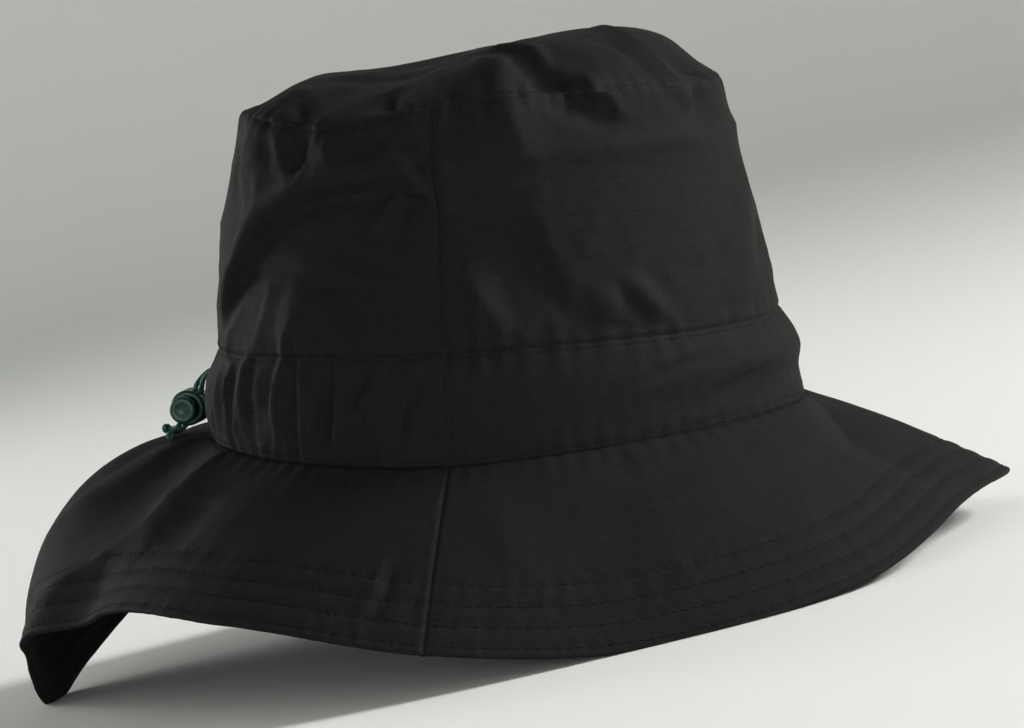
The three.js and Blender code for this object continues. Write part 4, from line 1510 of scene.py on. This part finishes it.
@dataclass
class Band(SewnPart):
    """The band round the head: a folded strip in two halves, stitched along its top
    and bottom, gathered at the back by the cord that runs inside."""

    name: str = "band"
    column: float = 1.05 * FINE
    row: float = 0.95 * FINE
    seam_width: float = 0.7
    seam_depth: float = 0.5
    topstitch: float = 1.7
    groove_depth: float = 0.3
    side_topstitch: float = 2.0
    side_groove: float = 0.2
    crown_pucker: Pucker = Pucker(5, 0.312, 8)
    brim_pucker: Pucker = Pucker(7, 0.24, 8)
    # the fine tucks' waves, whose reach is from the panel's edges, and where they are
    tucks: Pucker = Pucker(29, 0.35, 5, (50, 130))
    gather: tuple[float, float, tuple[float, float]] = (84, 16, (3, 8))
    soft: Crumple = Crumple(31, (40, 22, 12), 0.5, 5)
    hole_level: float = 21 / 31.5
    hole_aside: float = 4.0
    hole_radius: float = 1.5
    hole_depth: float = 0.9
    creases: tuple[Crease, ...] = creases(
        (1.8, 0.7, 0.3, 0, -47, 0.58, -38, 0.68, -28, 0.71),
        (1.8, 0.6, 0.3, 0, -30, 0.3, -24, 0.42, -16, 0.46),
        (2.2, -1.5, 0, 1, -140.5, 1.1, -142, 1, -144.2, 0.9, -145.5, 0.55, -148.5, 0.1),
        (2.2, -1.3, 0, 1, -129.5, 1.1, -131, 1, -132.5, 0.73, -133.8, 0.5, -136, 0.12),
        (1.9, -0.9, 0, 1, -154.4, 1.1, -155, 1, -151.2, 0.83, -149.5, 0.54, -150.5, 0.1),
        (1.8, -0.8, 0, 1, -138, 0.93, -139.5, 0.72, -140.2, 0.6, -135.5, 0.55),
        (2, -1, 0, 1, -124.2, 0.97, -123.5, 0.65, -122.8, 0.42, -121.8, 0.1),
        (3, -2.5, 0, 1, -104.8, 0.98, -105, 0.78, -106.3, 0.61, -112, 0.43, -118.5, 0.12),
        (2.6, 1.3, 0, 0, -108.5, 0.95, -109, 0.8, -112, 0.62),
        (2.6, 1.4, 0, 0, -118.5, 0.8, -120, 0.45, -121, 0.1),
        (3, 1.9, 0.4, 0, -101.8, 0.12, -101, 0.35, -98.8, 0.6, -93, 0.73),
        (1.8, -1.1, 0, 1, -110.5, 0.12, -108.2, 0.33, -103, 0.25),
        (2.2, 0.8, 0.3, 0, -96, 0.15, -92, 0.3, -84, 0.36),
        (2.2, -0.9, 0, 1, -160, 0.9, -160.5, 0.5, -163, 0.1),
        (2.2, -0.9, 0, 1, -168, 0.95, -169, 0.5, -167, 0.1),
        (2.2, -0.9, 0, 1, 168, 0.95, 166, 0.5, 168, 0.1),
        (2, -0.9, 0, 1, 157, 0.92, 159, 0.5, 160, 0.1),
        (2.2, -1.1, 0, 1, 147, 0.95, 145, 0.55, 149, 0.12),
        (2.2, -1, 0, 1, 132, 0.95, 134, 0.55, 131, 0.12),
        (2.8, -1.3, 0, 1, 108, 0.95, 112, 0.55, 121, 0.15),
        (2.8, 0.8, 0.3, 0, 96, 0.15, 100, 0.45, 98, 0.8),
    )

    def relief(self, place: Place) -> Array:
        """Relief of the band: sunk seams and stitch lines with puckers, finer tucks in
        the gathers at the back, a dimple at each cord hole, and soft creases.

        Args:
            place: Where the points are.

        Returns:
            Heights in millimetres.
        """
        ends = np.minimum(place.from_start, place.from_end)
        height = -self.sunk(np.minimum(place.from_foot, place.from_head), ends)
        for row in (place.from_foot, place.from_head):
            height -= self.groove_depth * bell(row - self.topstitch, self.groove_width)
        if place.angle[0, 0] < 0:
            height -= self.side_groove * bell(ends - self.side_topstitch, self.groove_width)
        height += self.crown_pucker.relief(place.angle, place.from_head)
        height += self.brim_pucker.relief(place.angle, place.from_foot)
        tucks = self.tucks.height * gathered(place.angle, *self.gather) * self.tucks.waves(place.angle)
        height += tucks * place.inside(self.tucks.reach)
        round_back = turn(place.angle, 180) * np.radians(1) * self.hat.head_length / 2
        up = (place.level - self.hole_level) * self.hat.band_height
        for aside in (-self.hole_aside, self.hole_aside):
            height -= self.hole_depth * bell(np.hypot(round_back + aside, up), self.hole_radius)
        return height + self.soft.relief(place)

    def assemble(self) -> None:
        """Makes the band's halves and stitches."""
        hat = self.hat
        seam = hat.mitre(hat.side, 0.0, hat.brim, 1.0)
        crown_seam = hat.mitre(hat.side, 1.0, hat.side, 1.0)
        self.add_strip(
            ("band_front", "band_back"), 0, hat.band_height, wall=hat.band_wall,
            relief=self.relief, foot=seam, head=crown_seam, creases=self.creases,
        )
        for panel in self.panels:
            for edge in (Edge.FOOT, Edge.HEAD):
                self.stitching.row(*panel.seam_line(edge, self.topstitch))
        for edge in (Edge.START, Edge.END):
            self.stitching.row(*self.panels[0].seam_line(edge, self.side_topstitch))


@dataclass
class Brim(SewnPart):
    """The brim: two halves of double cloth with a turned edge and rows of stitching
    that follow it."""

    name: str = "brim"
    column: float = 1.35 * FINE
    row: float = 0.9 * FINE
    inner_row: float = 1.5 * FINE
    middle_radius: float = 140
    stitched_rows: tuple[float, ...] = (3.2, 10.6, 18.1, 25.8)
    stitched_width: float = 28.5
    plain_width: float = 58
    groove_width: float = 1.4
    groove_depth: float = 0.30
    quilt_rise: float = 0.14
    fell: float = 2.6
    fell_rise: float = 0.05
    fell_steps: tuple[float, float] = (1.2, 0.8)
    climb: float = 420
    band_pucker: Pucker = Pucker(7, 0.24, 8)
    side_pucker: Pucker = Pucker(13, 0.22, 7, (16, 50))
    row_puckers: tuple[Pucker, ...] = tuple(Pucker(seed, 0.11, 4.5, (60, 150)) for seed in range(41, 45))
    soft: Crumple = Crumple(37, (110, 58, 30, 15), 1.1, 12)
    creases: tuple[Crease, ...] = creases(
        (9, -4.6, 0, 1, -147.5, 1.15, -149, 1, -151.5, 0.74, -153, 0.49, -158.8, 0.335, -164, 0.2,
         -167, 0.04),
        (11, 2.8, 0, 0, -141, 0.95, -143, 0.74, -144.5, 0.49, -150, 0.335, -154, 0.22),
        (4, -1.6, 0, 1, -173, 0.96, -169.5, 0.765, -170, 0.64, -173, 0.5, -176, 0.38),
        (5, 1.6, 0, 0, -177, 0.86, -175, 0.68, -178, 0.52),
        (1.8, -0.7, 0, 1, -134.8, 0.74, -145, 0.69, -155.8, 0.64, -158.5, 0.6),
        (7, 3.2, 0, 1, 9, 1, 4, 0.865, -5.8, 0.645, -4.8, 0.45, -1.8, 0.12),
        (6, -0.9, 0, 1, -28, 0.9, -24, 0.75, -18, 0.62),
        (5, 0.8, 0.3, 0, -58, 0.95, -52, 0.8, -40, 0.72),
        (3, 0.8, 0.3, 0, -98, 0.1, -97, 0.3, -96, 0.45),
        (7, -1.6, 0, 1, 40, 0.95, 46, 0.6, 44, 0.3),
        (8, 1.8, 0.2, 0, 84, 0.95, 80, 0.65, 86, 0.4),
        (8, -2, 0, 1, 128, 0.95, 132, 0.6, 128, 0.3),
        (8, -2.6, 0, 1, 166, 0.95, 163, 0.6, 158, 0.25),
    )

    def flatten(self, angle: Array, level: Array) -> Array:
        """The flat cut: a ring, as far from its middle as the head's radius and the
        length of the brim up to each point.

        Args:
            angle: Angles, in degrees.
            level: Levels.

        Returns:
            Flat points in millimetres.
        """
        out = self.mean_radius + (1 - level) * self.hat.brim_length(angle)
        return np.stack([out * np.cos(np.radians(angle)), out * np.sin(np.radians(angle))], -1)

    def relief(self, place: Place) -> Array:
        """Relief of the brim: a groove along each stitched row with low swells between
        them, puckers along the rows, sunk seams and soft creases.

        Args:
            place: Where the points are.

        Returns:
            Heights in millimetres.
        """
        edge = place.from_foot + self.hat.brim_wall / 2
        ends = np.minimum(place.from_start, place.from_end)
        height = -self.sunk(place.from_head, ends)
        for row, puckers in zip(self.stitched_rows, self.row_puckers):
            height -= self.groove_depth * bell(edge - row, self.groove_width)
            height += puckers.relief(place.angle, edge - row)
        for low, high in zip(self.stitched_rows[:-1], self.stitched_rows[1:]):
            height += self.quilt_rise * bump(edge - (low + high) / 2, (high - low) / 2)
        if place.angle[0, 0] > 0:
            height += self.allowance(ends)
        height += self.band_pucker.relief(place.angle, place.from_head)
        up_seam = self.side_pucker.relief(place.level * self.climb, ends)
        height += up_seam * place.inside(self.side_inset)
        return height + self.soft.relief(place)

    def assemble(self) -> None:
        """Makes the brim's halves and stitches."""
        hat = self.hat
        seam = hat.mitre(hat.side, 0.0, hat.brim, 1.0)
        columns = self.columns(self.middle_radius)
        outer_rows = int(self.stitched_width / self.row)
        inner_rows = int(self.plain_width / self.inner_row)
        swing = np.linspace(0, np.pi / 2, inner_rows + 1)[1:][::-1]
        share = 1 - np.cos(swing)[None]
        for name, start in (("brim_front", -90), ("brim_back", 90)):
            angles = start + 180 * crowd(columns, TO_SEAMS)
            length = hat.brim_length(angles)[:, None]
            first = np.linspace(hat.brim_wall / 2, self.stitched_width, outer_rows + 1)[None] / length
            rest = first[:, -1:] + (1 - first[:, -1:]) * (1 - share) / (1 - share.min())
            self.panels.append(Panel(
                name, hat, hat.brim, self.flatten, angles, np.concatenate([first, rest], 1),
                hat.brim_wall, self.relief, head=seam, creases=self.creases, nose=True,
            ))
        for panel in self.panels:
            for row in self.stitched_rows:
                self.stitching.row(*panel.seam_line(Edge.FOOT, row - hat.brim_wall / 2))


class Strand(Enum):
    """The drawcord's two strands, named by the side that they come out on."""

    NEAR = -1
    FAR = 1


@dataclass
class CordLock:
    """The barrel cord lock: a body with a spring-loaded button and a slot through both
    for the two strands."""

    hat: Hat
    cord: float = 1.8
    clearance: float = 0.35
    spacing: float = 2.4
    running_gap: float = 0.3
    diameter: float = 12.4
    floor: float = 1.2
    mouth: float = 5.0
    round_size: float = 2.2
    stem: float = 7.6
    bridge: float = 1.2
    button: float = 9.4
    button_height: float = 2.4
    button_round: float = 1.1
    travel: float = 3.0
    sides: int = 64
    round_steps: int = 6
    # the angle from which an edge stays sharp
    sharp: float = 38
    # the groove round the body: its depth, and its half heights inside and outside
    waist: tuple[float, float, float] = (0.35, 0.6, 0.9)
    mouth_bevel: float = 0.3
    button_bevel: float = 0.2
    # the dish in the button's top: its rim, how far its edge slopes in, and its depth
    dish: tuple[float, float, float] = (2.2, 2.6, 0.3)
    lean: float = 60.0
    centre: tuple[float, float, float] = (-113.2, 0.0, 9.0)

    def frame(self) -> Array:
        """The lock's x, y and z directions in the hat's frame, as columns."""
        c, s = math.cos(math.radians(self.lean)), math.sin(math.radians(self.lean))
        return np.array([(c, 0, s), (-s, 0, c), (0, -1, 0)]).T

    def on_strand(self, along: float, strand: Strand) -> Array:
        """A point on a strand in the lock, at a distance along it from the lock's middle."""
        return self.frame() @ np.array([along, strand.value * self.spacing / 2, 0]) + np.array(self.centre)

    def quarter(self, radius: float, z: float, size: float, start: float) -> list[tuple[float, float]]:
        """Radius and height of points on a quarter circle, evenly from a start angle."""
        swing = np.radians(np.linspace(start, start + 90, self.round_steps + 1))
        return [(radius + size * math.cos(a), z + size * math.sin(a)) for a in swing]

    def turned(self, profile: list[tuple[float, float]]) -> tuple[Array, list]:
        """A closed body turned about the lock's axis, its two ends on the axis.

        Args:
            profile: Radius and height, from one pole to the other.

        Returns:
            Its points in the lock's own frame and its faces.
        """
        rows = np.array(profile[1:-1])
        swing = np.linspace(0, 2 * np.pi, self.sides, endpoint=False)[:, None]
        points, index = lofted(np.cos(swing) * rows[:, 0], np.sin(swing) * rows[:, 0], rows[:, 1])
        faces = patch(index, wrap=True).tolist()
        faces += [index[::-1, 0].tolist(), index[:, -1].tolist()]
        return points, faces

    def slot_tool(self, bottom: float, top: float) -> tuple[Array, list]:
        """The slot's cutter: a rounded rectangle along the strands.

        Args:
            bottom: The slot's lower side.
            top: Its upper side.

        Returns:
            Its points in the lock's own frame and its faces.
        """
        r = self.cord / 2 + self.clearance
        reach = self.spacing / 2
        high, low = top - r, bottom + r
        corners = ((reach, high, 0), (-reach, high, 90), (-reach, low, 180), (reach, low, 270))
        outline = np.array([point for y, z, start in corners for point in self.quarter(y, z, r, start)])
        ends = np.array([-self.diameter, self.diameter])
        points, index = lofted(ends, outline[:, :1], outline[:, 1:])
        faces = patch(index, wrap=True)[:, ::-1].tolist()
        faces += [index[:, 0].tolist(), index[::-1, -1].tolist()]
        return points, faces

    def cut_body(
        self, name: str, profile: list[tuple[float, float]], slot: tuple[float, float],
        material: Material,
    ) -> Object:
        """Turns a body, cuts the slot out of it and lays it in place.

        Args:
            name: The object's name.
            profile: The body's profile.
            slot: The slot's lower and upper side.
            material: The plastic.

        Returns:
            The object.
        """

        def placed(shape: tuple[Array, list]) -> tuple[Array, list]:
            """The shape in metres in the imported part's frame."""
            points = shape[0] @ self.frame().T + np.array(self.centre)
            return self.hat.to_world(points, floor=False), shape[1]

        obj = make_object(name, *placed(self.turned(profile)), material, sharp=self.sharp)
        tool = make_object(name + "_slot", *placed(self.slot_tool(*slot)), material, sharp=self.sharp)
        cut = obj.modifiers.new("slot", "BOOLEAN")
        cut.operation, cut.object, cut.solver = "DIFFERENCE", tool, "EXACT"
        evaluated = obj.evaluated_get(bpy.context.evaluated_depsgraph_get())
        mesh = bpy.data.meshes.new_from_object(evaluated)
        obj.modifiers.clear()
        obj.data = mesh
        bpy.data.objects.remove(tool)
        mesh.set_sharp_from_angle(angle=math.radians(self.sharp))
        return obj

    def build(self, plastic: Material) -> list[Object]:
        """Builds the lock's body and its button.

        Args:
            plastic: The plastic.

        Returns:
            The objects.
        """
        slot = self.cord / 2 + self.clearance
        stem_bottom = -slot - self.bridge
        bore_bottom = stem_bottom - self.travel - self.running_gap
        button_bottom = self.mouth + self.travel + self.running_gap
        bottom = bore_bottom - self.floor
        r, bore = self.diameter / 2, self.stem / 2 + self.running_gap
        lip = self.round_size / 2
        waist, narrow, wide = self.waist
        body = [
            (0, bottom),
            *self.quarter(r - self.round_size, bottom + self.round_size, self.round_size, -90),
            (r, -wide), (r - waist, -narrow), (r - waist, narrow), (r, wide),
            *self.quarter(r - lip, self.mouth - lip, lip, 0),
            (bore + self.mouth_bevel, self.mouth), (bore, self.mouth - self.mouth_bevel),
            (bore, bore_bottom), (0, bore_bottom),
        ]
        top = button_bottom + self.button_height
        half_button = self.button / 2
        rim, slope, depth = self.dish
        plunger = [
            (0, stem_bottom), (self.stem / 2, stem_bottom), (self.stem / 2, button_bottom),
            (half_button - self.button_bevel, button_bottom),
            (half_button, button_bottom + self.button_bevel),
            *self.quarter(half_button - self.button_round, top - self.button_round, self.button_round, 0),
            (half_button - rim, top), (half_button - slope, top - depth), (0, top - depth),
        ]
        barrel = self.cut_body("cord_lock_barrel", body, (-slot, slot), plastic)
        button = self.cut_body("cord_lock_button", plunger, (-slot, slot + self.travel), plastic)
        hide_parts("cord_lock_body")
        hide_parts("cord_lock_plunger")
        return [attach(barrel, "hat"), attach(button, "lock_button")]


@dataclass
class Drawcord:
    """The elastic drawcord: two strands that leave the band, run through the lock and
    end in knots."""

    hat: Hat
    lock: CordLock
    exit_aside: float = 4.0
    exit_height: float = 21.0
    hole_depth: float = 1.8
    sides: int = 16
    sharp: float = 60
    # rough directions from which the tube's and the knot's windings start
    tube_side: tuple[float, float, float] = (0.13, 0.2, 0.97)
    knot_side: tuple[float, float, float] = (0.1, 0.3, 1.0)
    knot_diameter: float = 3.2
    knot_length: float = 3.4
    knot_turns: float = 2.5
    # the wound thread's radius as a share of the knot's, how much thicker it is
    # drawn, over what share of its length the ends close in, and how far it stands off
    knot_thread: float = 0.34
    knot_swell: float = 1.25
    knot_close: float = 0.16
    knot_gap: float = 0.25
    knot_points: int = 60
    # the strands' points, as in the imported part's own source
    above: dict[Strand, tuple] = field(default_factory=lambda: {
        Strand.NEAR: ((-103.6, -4.0, 21.0), (-105.6, -3.8, 20.0), (-107.1, -2.9, 18.2),
                      (-108.1, -1.5, 16.2), (-108.7, -0.4, 14.9)),
        Strand.FAR: ((-103.8, 4.0, 21.3), (-106.1, 3.9, 20.9), (-108.2, 3.1, 19.6),
                     (-109.8, 1.7, 17.8), (-110.7, 0.5, 16.3)),
    })
    below: dict[Strand, tuple] = field(default_factory=lambda: {
        Strand.NEAR: ((-116.8, -0.5, 1.50), (-118.5, -1.7, 0.70), (-120.0, -4.1, 0.40),
                      (-119.9, -6.8, 0.50), (-118.7, -9.2, 0.50)),
        Strand.FAR: ((-118.1, 0.1, 2.9), (-119.1, 0.5, 1.9), (-120.5, 1.3, 1.4), (-122.2, 2.3, 1.3)),
    })

    def route(self, strand: Strand) -> Array:
        """The points that a strand passes through.

        Args:
            strand: Which strand.

        Returns:
            The points in the hat's frame.
        """
        y = strand.value * self.exit_aside
        angle = np.array([180 - math.degrees(math.asin(y / (self.hat.head_length / 2)))])
        hole = self.hat.side(angle, np.array([self.exit_height / self.hat.band_height]))[0]
        deep = self.hole_depth - self.lock.clearance
        reach = self.lock.diameter / 2
        inside = [self.lock.on_strand(x, strand) for x in (reach, 0, -reach)]
        starts = [hole + (deep, 0, 0), hole - (deep / 2, 0, 0)]
        return np.array([*starts, *self.above[strand], *inside, *self.below[strand]])

    def curve(self, strand: Strand, steps: int = 12) -> Array:
        """A centripetal Catmull-Rom curve through the route: between two points, the
        cubic whose end slopes come from the neighbours, timed by the square roots
        of the distances.

        Args:
            strand: Which strand.
            steps: Steps between two points.

        Returns:
            The curve's points.
        """
        p = self.route(strand)
        p = np.concatenate([[2 * p[0] - p[1]], p, [2 * p[-1] - p[-2]]])
        gap = np.sqrt(np.linalg.norm(np.diff(p, axis=0), axis=-1))[:, None]
        a, b, c, d = p[:-3], p[1:-2], p[2:-1], p[3:]
        g0, g1, g2 = gap[:-2], gap[1:-1], gap[2:]
        start = ((b - a) / g0 - (c - a) / (g0 + g1) + (c - b) / g1) * g1
        end = ((c - b) / g1 - (d - b) / (g1 + g2) + (d - c) / g2) * g1
        u = np.linspace(0, 1, steps, endpoint=False)[:, None, None]
        points = hermite(u, 1.0, b, c, start, end).swapaxes(0, 1).reshape(-1, 3)
        return np.concatenate([points, p[-2:-1]])

    def tube(self, name: str, line: Array, radius: Array, material: Material) -> Object:
        """A round tube carried along a line by a frame that turns as little as it can.

        Args:
            name: The object's name.
            line: The line's points, in metres.
            radius: The tube's radius at each, in metres.
            material: Its material.

        Returns:
            The object.
        """
        ahead = unit(np.gradient(line, axis=0))
        across = np.empty_like(ahead)
        across[0] = unit(np.cross(ahead[0], self.tube_side))
        for i in range(1, len(line)):
            across[i] = unit(across[i - 1] - ahead[i] * (across[i - 1] @ ahead[i]))
        third = np.cross(ahead, across)
        swing = np.linspace(0, 2 * np.pi, self.sides + 1)[None, :, None]
        spokes = across[:, None] * np.cos(swing) + third[:, None] * np.sin(swing)
        points = line[:, None] + spokes[:, :-1] * radius[:, None, None]
        index = np.arange(len(line) * self.sides).reshape(len(line), self.sides)
        faces = patch(index, wrap_rows=True)[:, ::-1].tolist()
        faces += [index[0, ::-1].tolist(), index[-1].tolist()]
        run = np.broadcast_to(run_along(line, 0)[:, None], index.shape)
        around = np.broadcast_to(np.linspace(0, 1, self.sides, endpoint=False), index.shape)
        uv = np.stack([around, run], -1)
        return make_object(name, points, faces, material, ("cord", uv), sharp=self.sharp)

    def knot(self, strand: Strand, line: Array, material: Material) -> Object:
        """The knot at a strand's end: the cord wound in a close helix round its own
        line, both ends of the helix drawn in to that line.

        Args:
            strand: Which strand.
            line: The strand's centreline, in millimetres.
            material: The cord's material.

        Returns:
            The object.
        """
        ahead = unit(line[-1] - line[-2])
        aside = unit(np.cross(ahead, self.knot_side))
        third = np.cross(ahead, aside)
        t = np.linspace(0, 1, self.knot_points)[:, None]
        thread = self.knot_thread * self.knot_diameter / 2
        swing = 2 * np.pi * self.knot_turns * t
        reach = (self.knot_diameter / 2 - thread) * smoothstep(np.minimum(t, 1 - t), 0, self.knot_close)
        along = self.knot_gap + thread + (self.knot_length - 2 * thread) * t
        helix = line[-1] + ahead * along + (aside * np.cos(swing) + third * np.sin(swing)) * reach
        radius = np.full(len(t), thread * self.knot_swell * MM)
        name = "cord_knot_" + strand.name.lower()
        obj = self.tube(name + "_wound", self.hat.to_world(helix, floor=False), radius, material)
        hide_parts(name)
        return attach(obj, "hat")

    def build(self, elastic: Material) -> list[Object]:
        """Builds both strands and their knots.

        Args:
            elastic: The cord's material.

        Returns:
            The objects.
        """
        made = []
        for strand in Strand:
            name = "drawcord_" + strand.name.lower()
            line = self.curve(strand)
            world = self.hat.to_world(line, floor=False)
            knot = self.knot(strand, line, elastic)
            obj = self.tube(name + "_braided", world, np.full(len(world), self.lock.cord / 2 * MM), elastic)
            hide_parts(name)
            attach(obj, "hat")
            made += [obj, knot]
        return made


@dataclass(frozen=True)
class SoftLight:
    """A square soft light: where it stands and its side, in metres, and its watts."""

    name: str
    place: tuple[float, float, float]
    size: float
    power: float


@dataclass
class Studio:
    """A pale paper sweep, soft lights and the camera."""

    hat: Hat
    flat_radius: float = 2.6
    curve_radius: float = 1.3
    wall_height: float = 1.2
    # the radii of the floor's inner rings, how far it lies below the hat, and its faces
    floor_radii: tuple[float, ...] = (0.01, 0.6, 1.4)
    floor_drop: float = 0.0002
    curve_rings: int = 13
    floor_columns: int = 96
    lights: tuple[SoftLight, ...] = (
        SoftLight("key", (1.8, 0.30, 1.05), 0.6, 50),
        SoftLight("rim", (-1.45, 0.70, 0.50), 0.6, 8.6),
        SoftLight("fill", (-0.3, -1.9, 0.18), 0.9, 8.0),
        SoftLight("low", (1.2, -1.3, 0.10), 0.4, 5.0),
    )
    light_target: tuple[float, float, float] = (0, 0, 0.08)
    sky_light: float = 1.2
    sky_low: str = "#fcfffc"
    sky_high: str = "#3c443e"
    # the heights between which the light changes, as shares from the horizon to overhead
    sky_stops: tuple[float, float] = (0.28, 0.75)
    # the camera's angles in the hat's own frame, in degrees, and what it looks at
    azimuth: float = 14.0
    elevation: float = 5.5
    roll: float = 4.6
    distance: float = 1500.0
    target: tuple[float, float, float] = (0.0, 0.0, 45.0)
    millimetres_per_pixel: float = 0.341
    image: tuple[int, int] = (1024, 728)
    target_pixel: tuple[float, float] = (498.0, 286.0)
    sensor: float = 36.0
    clip: tuple[float, float] = (0.05, 50)

    def paper(self) -> Object:
        """The floor: a flat disc whose rim turns up into a low wall.

        Returns:
            The object.
        """
        turn_up = np.radians(np.linspace(0, 90, self.curve_rings))
        r = self.flat_radius + self.curve_radius * np.sin(turn_up)
        z = self.curve_radius * (1 - np.cos(turn_up))
        radius = np.concatenate([self.floor_radii, r, [r[-1]]])
        flat = np.zeros(len(self.floor_radii))
        height = np.concatenate([flat, z, [z[-1] + self.wall_height]]) - self.floor_drop
        swing = np.linspace(0, 2 * np.pi, self.floor_columns, endpoint=False)[:, None]
        points, index = lofted(radius * np.cos(swing), radius * np.sin(swing), height)
        faces = patch(index, wrap=True)[:, ::-1].tolist() + [index[:, 0].tolist()]
        obj = make_object("studio_paper", points, faces, MattePaper().material())
        return obj

    def light(self, soft: SoftLight) -> None:
        """Sets up a light and aims it at the hat.

        Args:
            soft: The light.
        """
        data = bpy.data.lights.new(soft.name, "AREA")
        data.size, data.energy = soft.size, soft.power
        obj = bpy.data.objects.new(soft.name, data)
        obj.location = soft.place
        aim = Vector(self.light_target) - Vector(soft.place)
        obj.rotation_euler = aim.to_track_quat("-Z", "Y").to_euler()
        bpy.context.collection.objects.link(obj)

    def camera(self) -> Object:
        """The camera: it looks along the fitted line at the target, and a small shift
        puts the target on its pixel.

        Returns:
            The camera.
        """
        a, e, r = (math.radians(x) for x in (self.azimuth, self.elevation, self.roll))
        back = np.array([math.sin(a) * math.cos(e), -math.cos(a) * math.cos(e), math.sin(e)])
        level = np.array([math.cos(a), math.sin(a), 0.0])
        steep = np.cross(back, level)
        right = level * math.cos(r) - steep * math.sin(r)
        up = level * math.sin(r) + steep * math.cos(r)
        axes = self.hat.direction(np.stack([right, up, back]))
        place = self.hat.to_world(np.array(self.target) + back * self.distance, floor=False)
        width, height = self.image
        data = bpy.data.cameras.new("camera")
        data.sensor_width = self.sensor
        data.lens = self.distance / self.millimetres_per_pixel * self.sensor / width
        data.shift_x = (width / 2 - self.target_pixel[0]) / width
        data.shift_y = (self.target_pixel[1] - height / 2) / width
        data.clip_start, data.clip_end = self.clip
        obj = bpy.data.objects.new("camera", data)
        matrix = np.eye(4)
        matrix[:3, :3], matrix[:3, 3] = axes.T, place
        obj.matrix_world = Matrix(matrix.tolist())
        bpy.context.collection.objects.link(obj)
        bpy.context.scene.camera = obj
        return obj

    def sky(self) -> World:
        """The light all round: bright low down and dim overhead, as between white
        studio screens.

        Returns:
            The world.
        """
        world = bpy.data.worlds.new("studio")
        world.use_nodes = True
        tree = world.node_tree
        way = add_node(tree, "TexCoord").outputs["Generated"]
        height = add_node(tree, "SeparateXYZ", {0: way}).outputs["Z"]
        fade = add_node(tree, "ValToRGB", {0: height})
        set_stops(fade, self.sky_stops, (self.sky_low, self.sky_high))
        background = tree.nodes["Background"]
        tree.links.new(fade.outputs["Color"], background.inputs["Color"])
        background.inputs["Strength"].default_value = self.sky_light
        return world

    def build(self) -> None:
        """Builds the paper, the lights, the sky and the camera."""
        self.paper()
        for soft in self.lights:
            self.light(soft)
        bpy.context.scene.world = self.sky()
        bpy.context.scene.view_settings.view_transform = "Standard"
        self.camera()


def main() -> None:
    """Builds the hat, its drawcord and lock, and the studio, and reports each piece."""
    logging.basicConfig(level=logging.INFO, format="%(name)s: %(message)s")
    hat = Hat()
    cloth, thread = ProofedCotton().material(), PolyesterThread().material()
    elastic, plastic = BraidedElastic().material(), MouldedAcetal().material()
    lock = CordLock(hat)
    made = []
    for part in (Crown(hat), Band(hat), Brim(hat)):
        made += part.build(cloth, thread)
    made += lock.build(plastic)
    made += Drawcord(hat, lock).build(elastic)
    for obj in made:
        obj.data.calc_loop_triangles()
        LOG.info("%s: %d triangles", obj.name, len(obj.data.loop_triangles))
    Studio(hat).build()


if __name__ == "__main__":
    main()
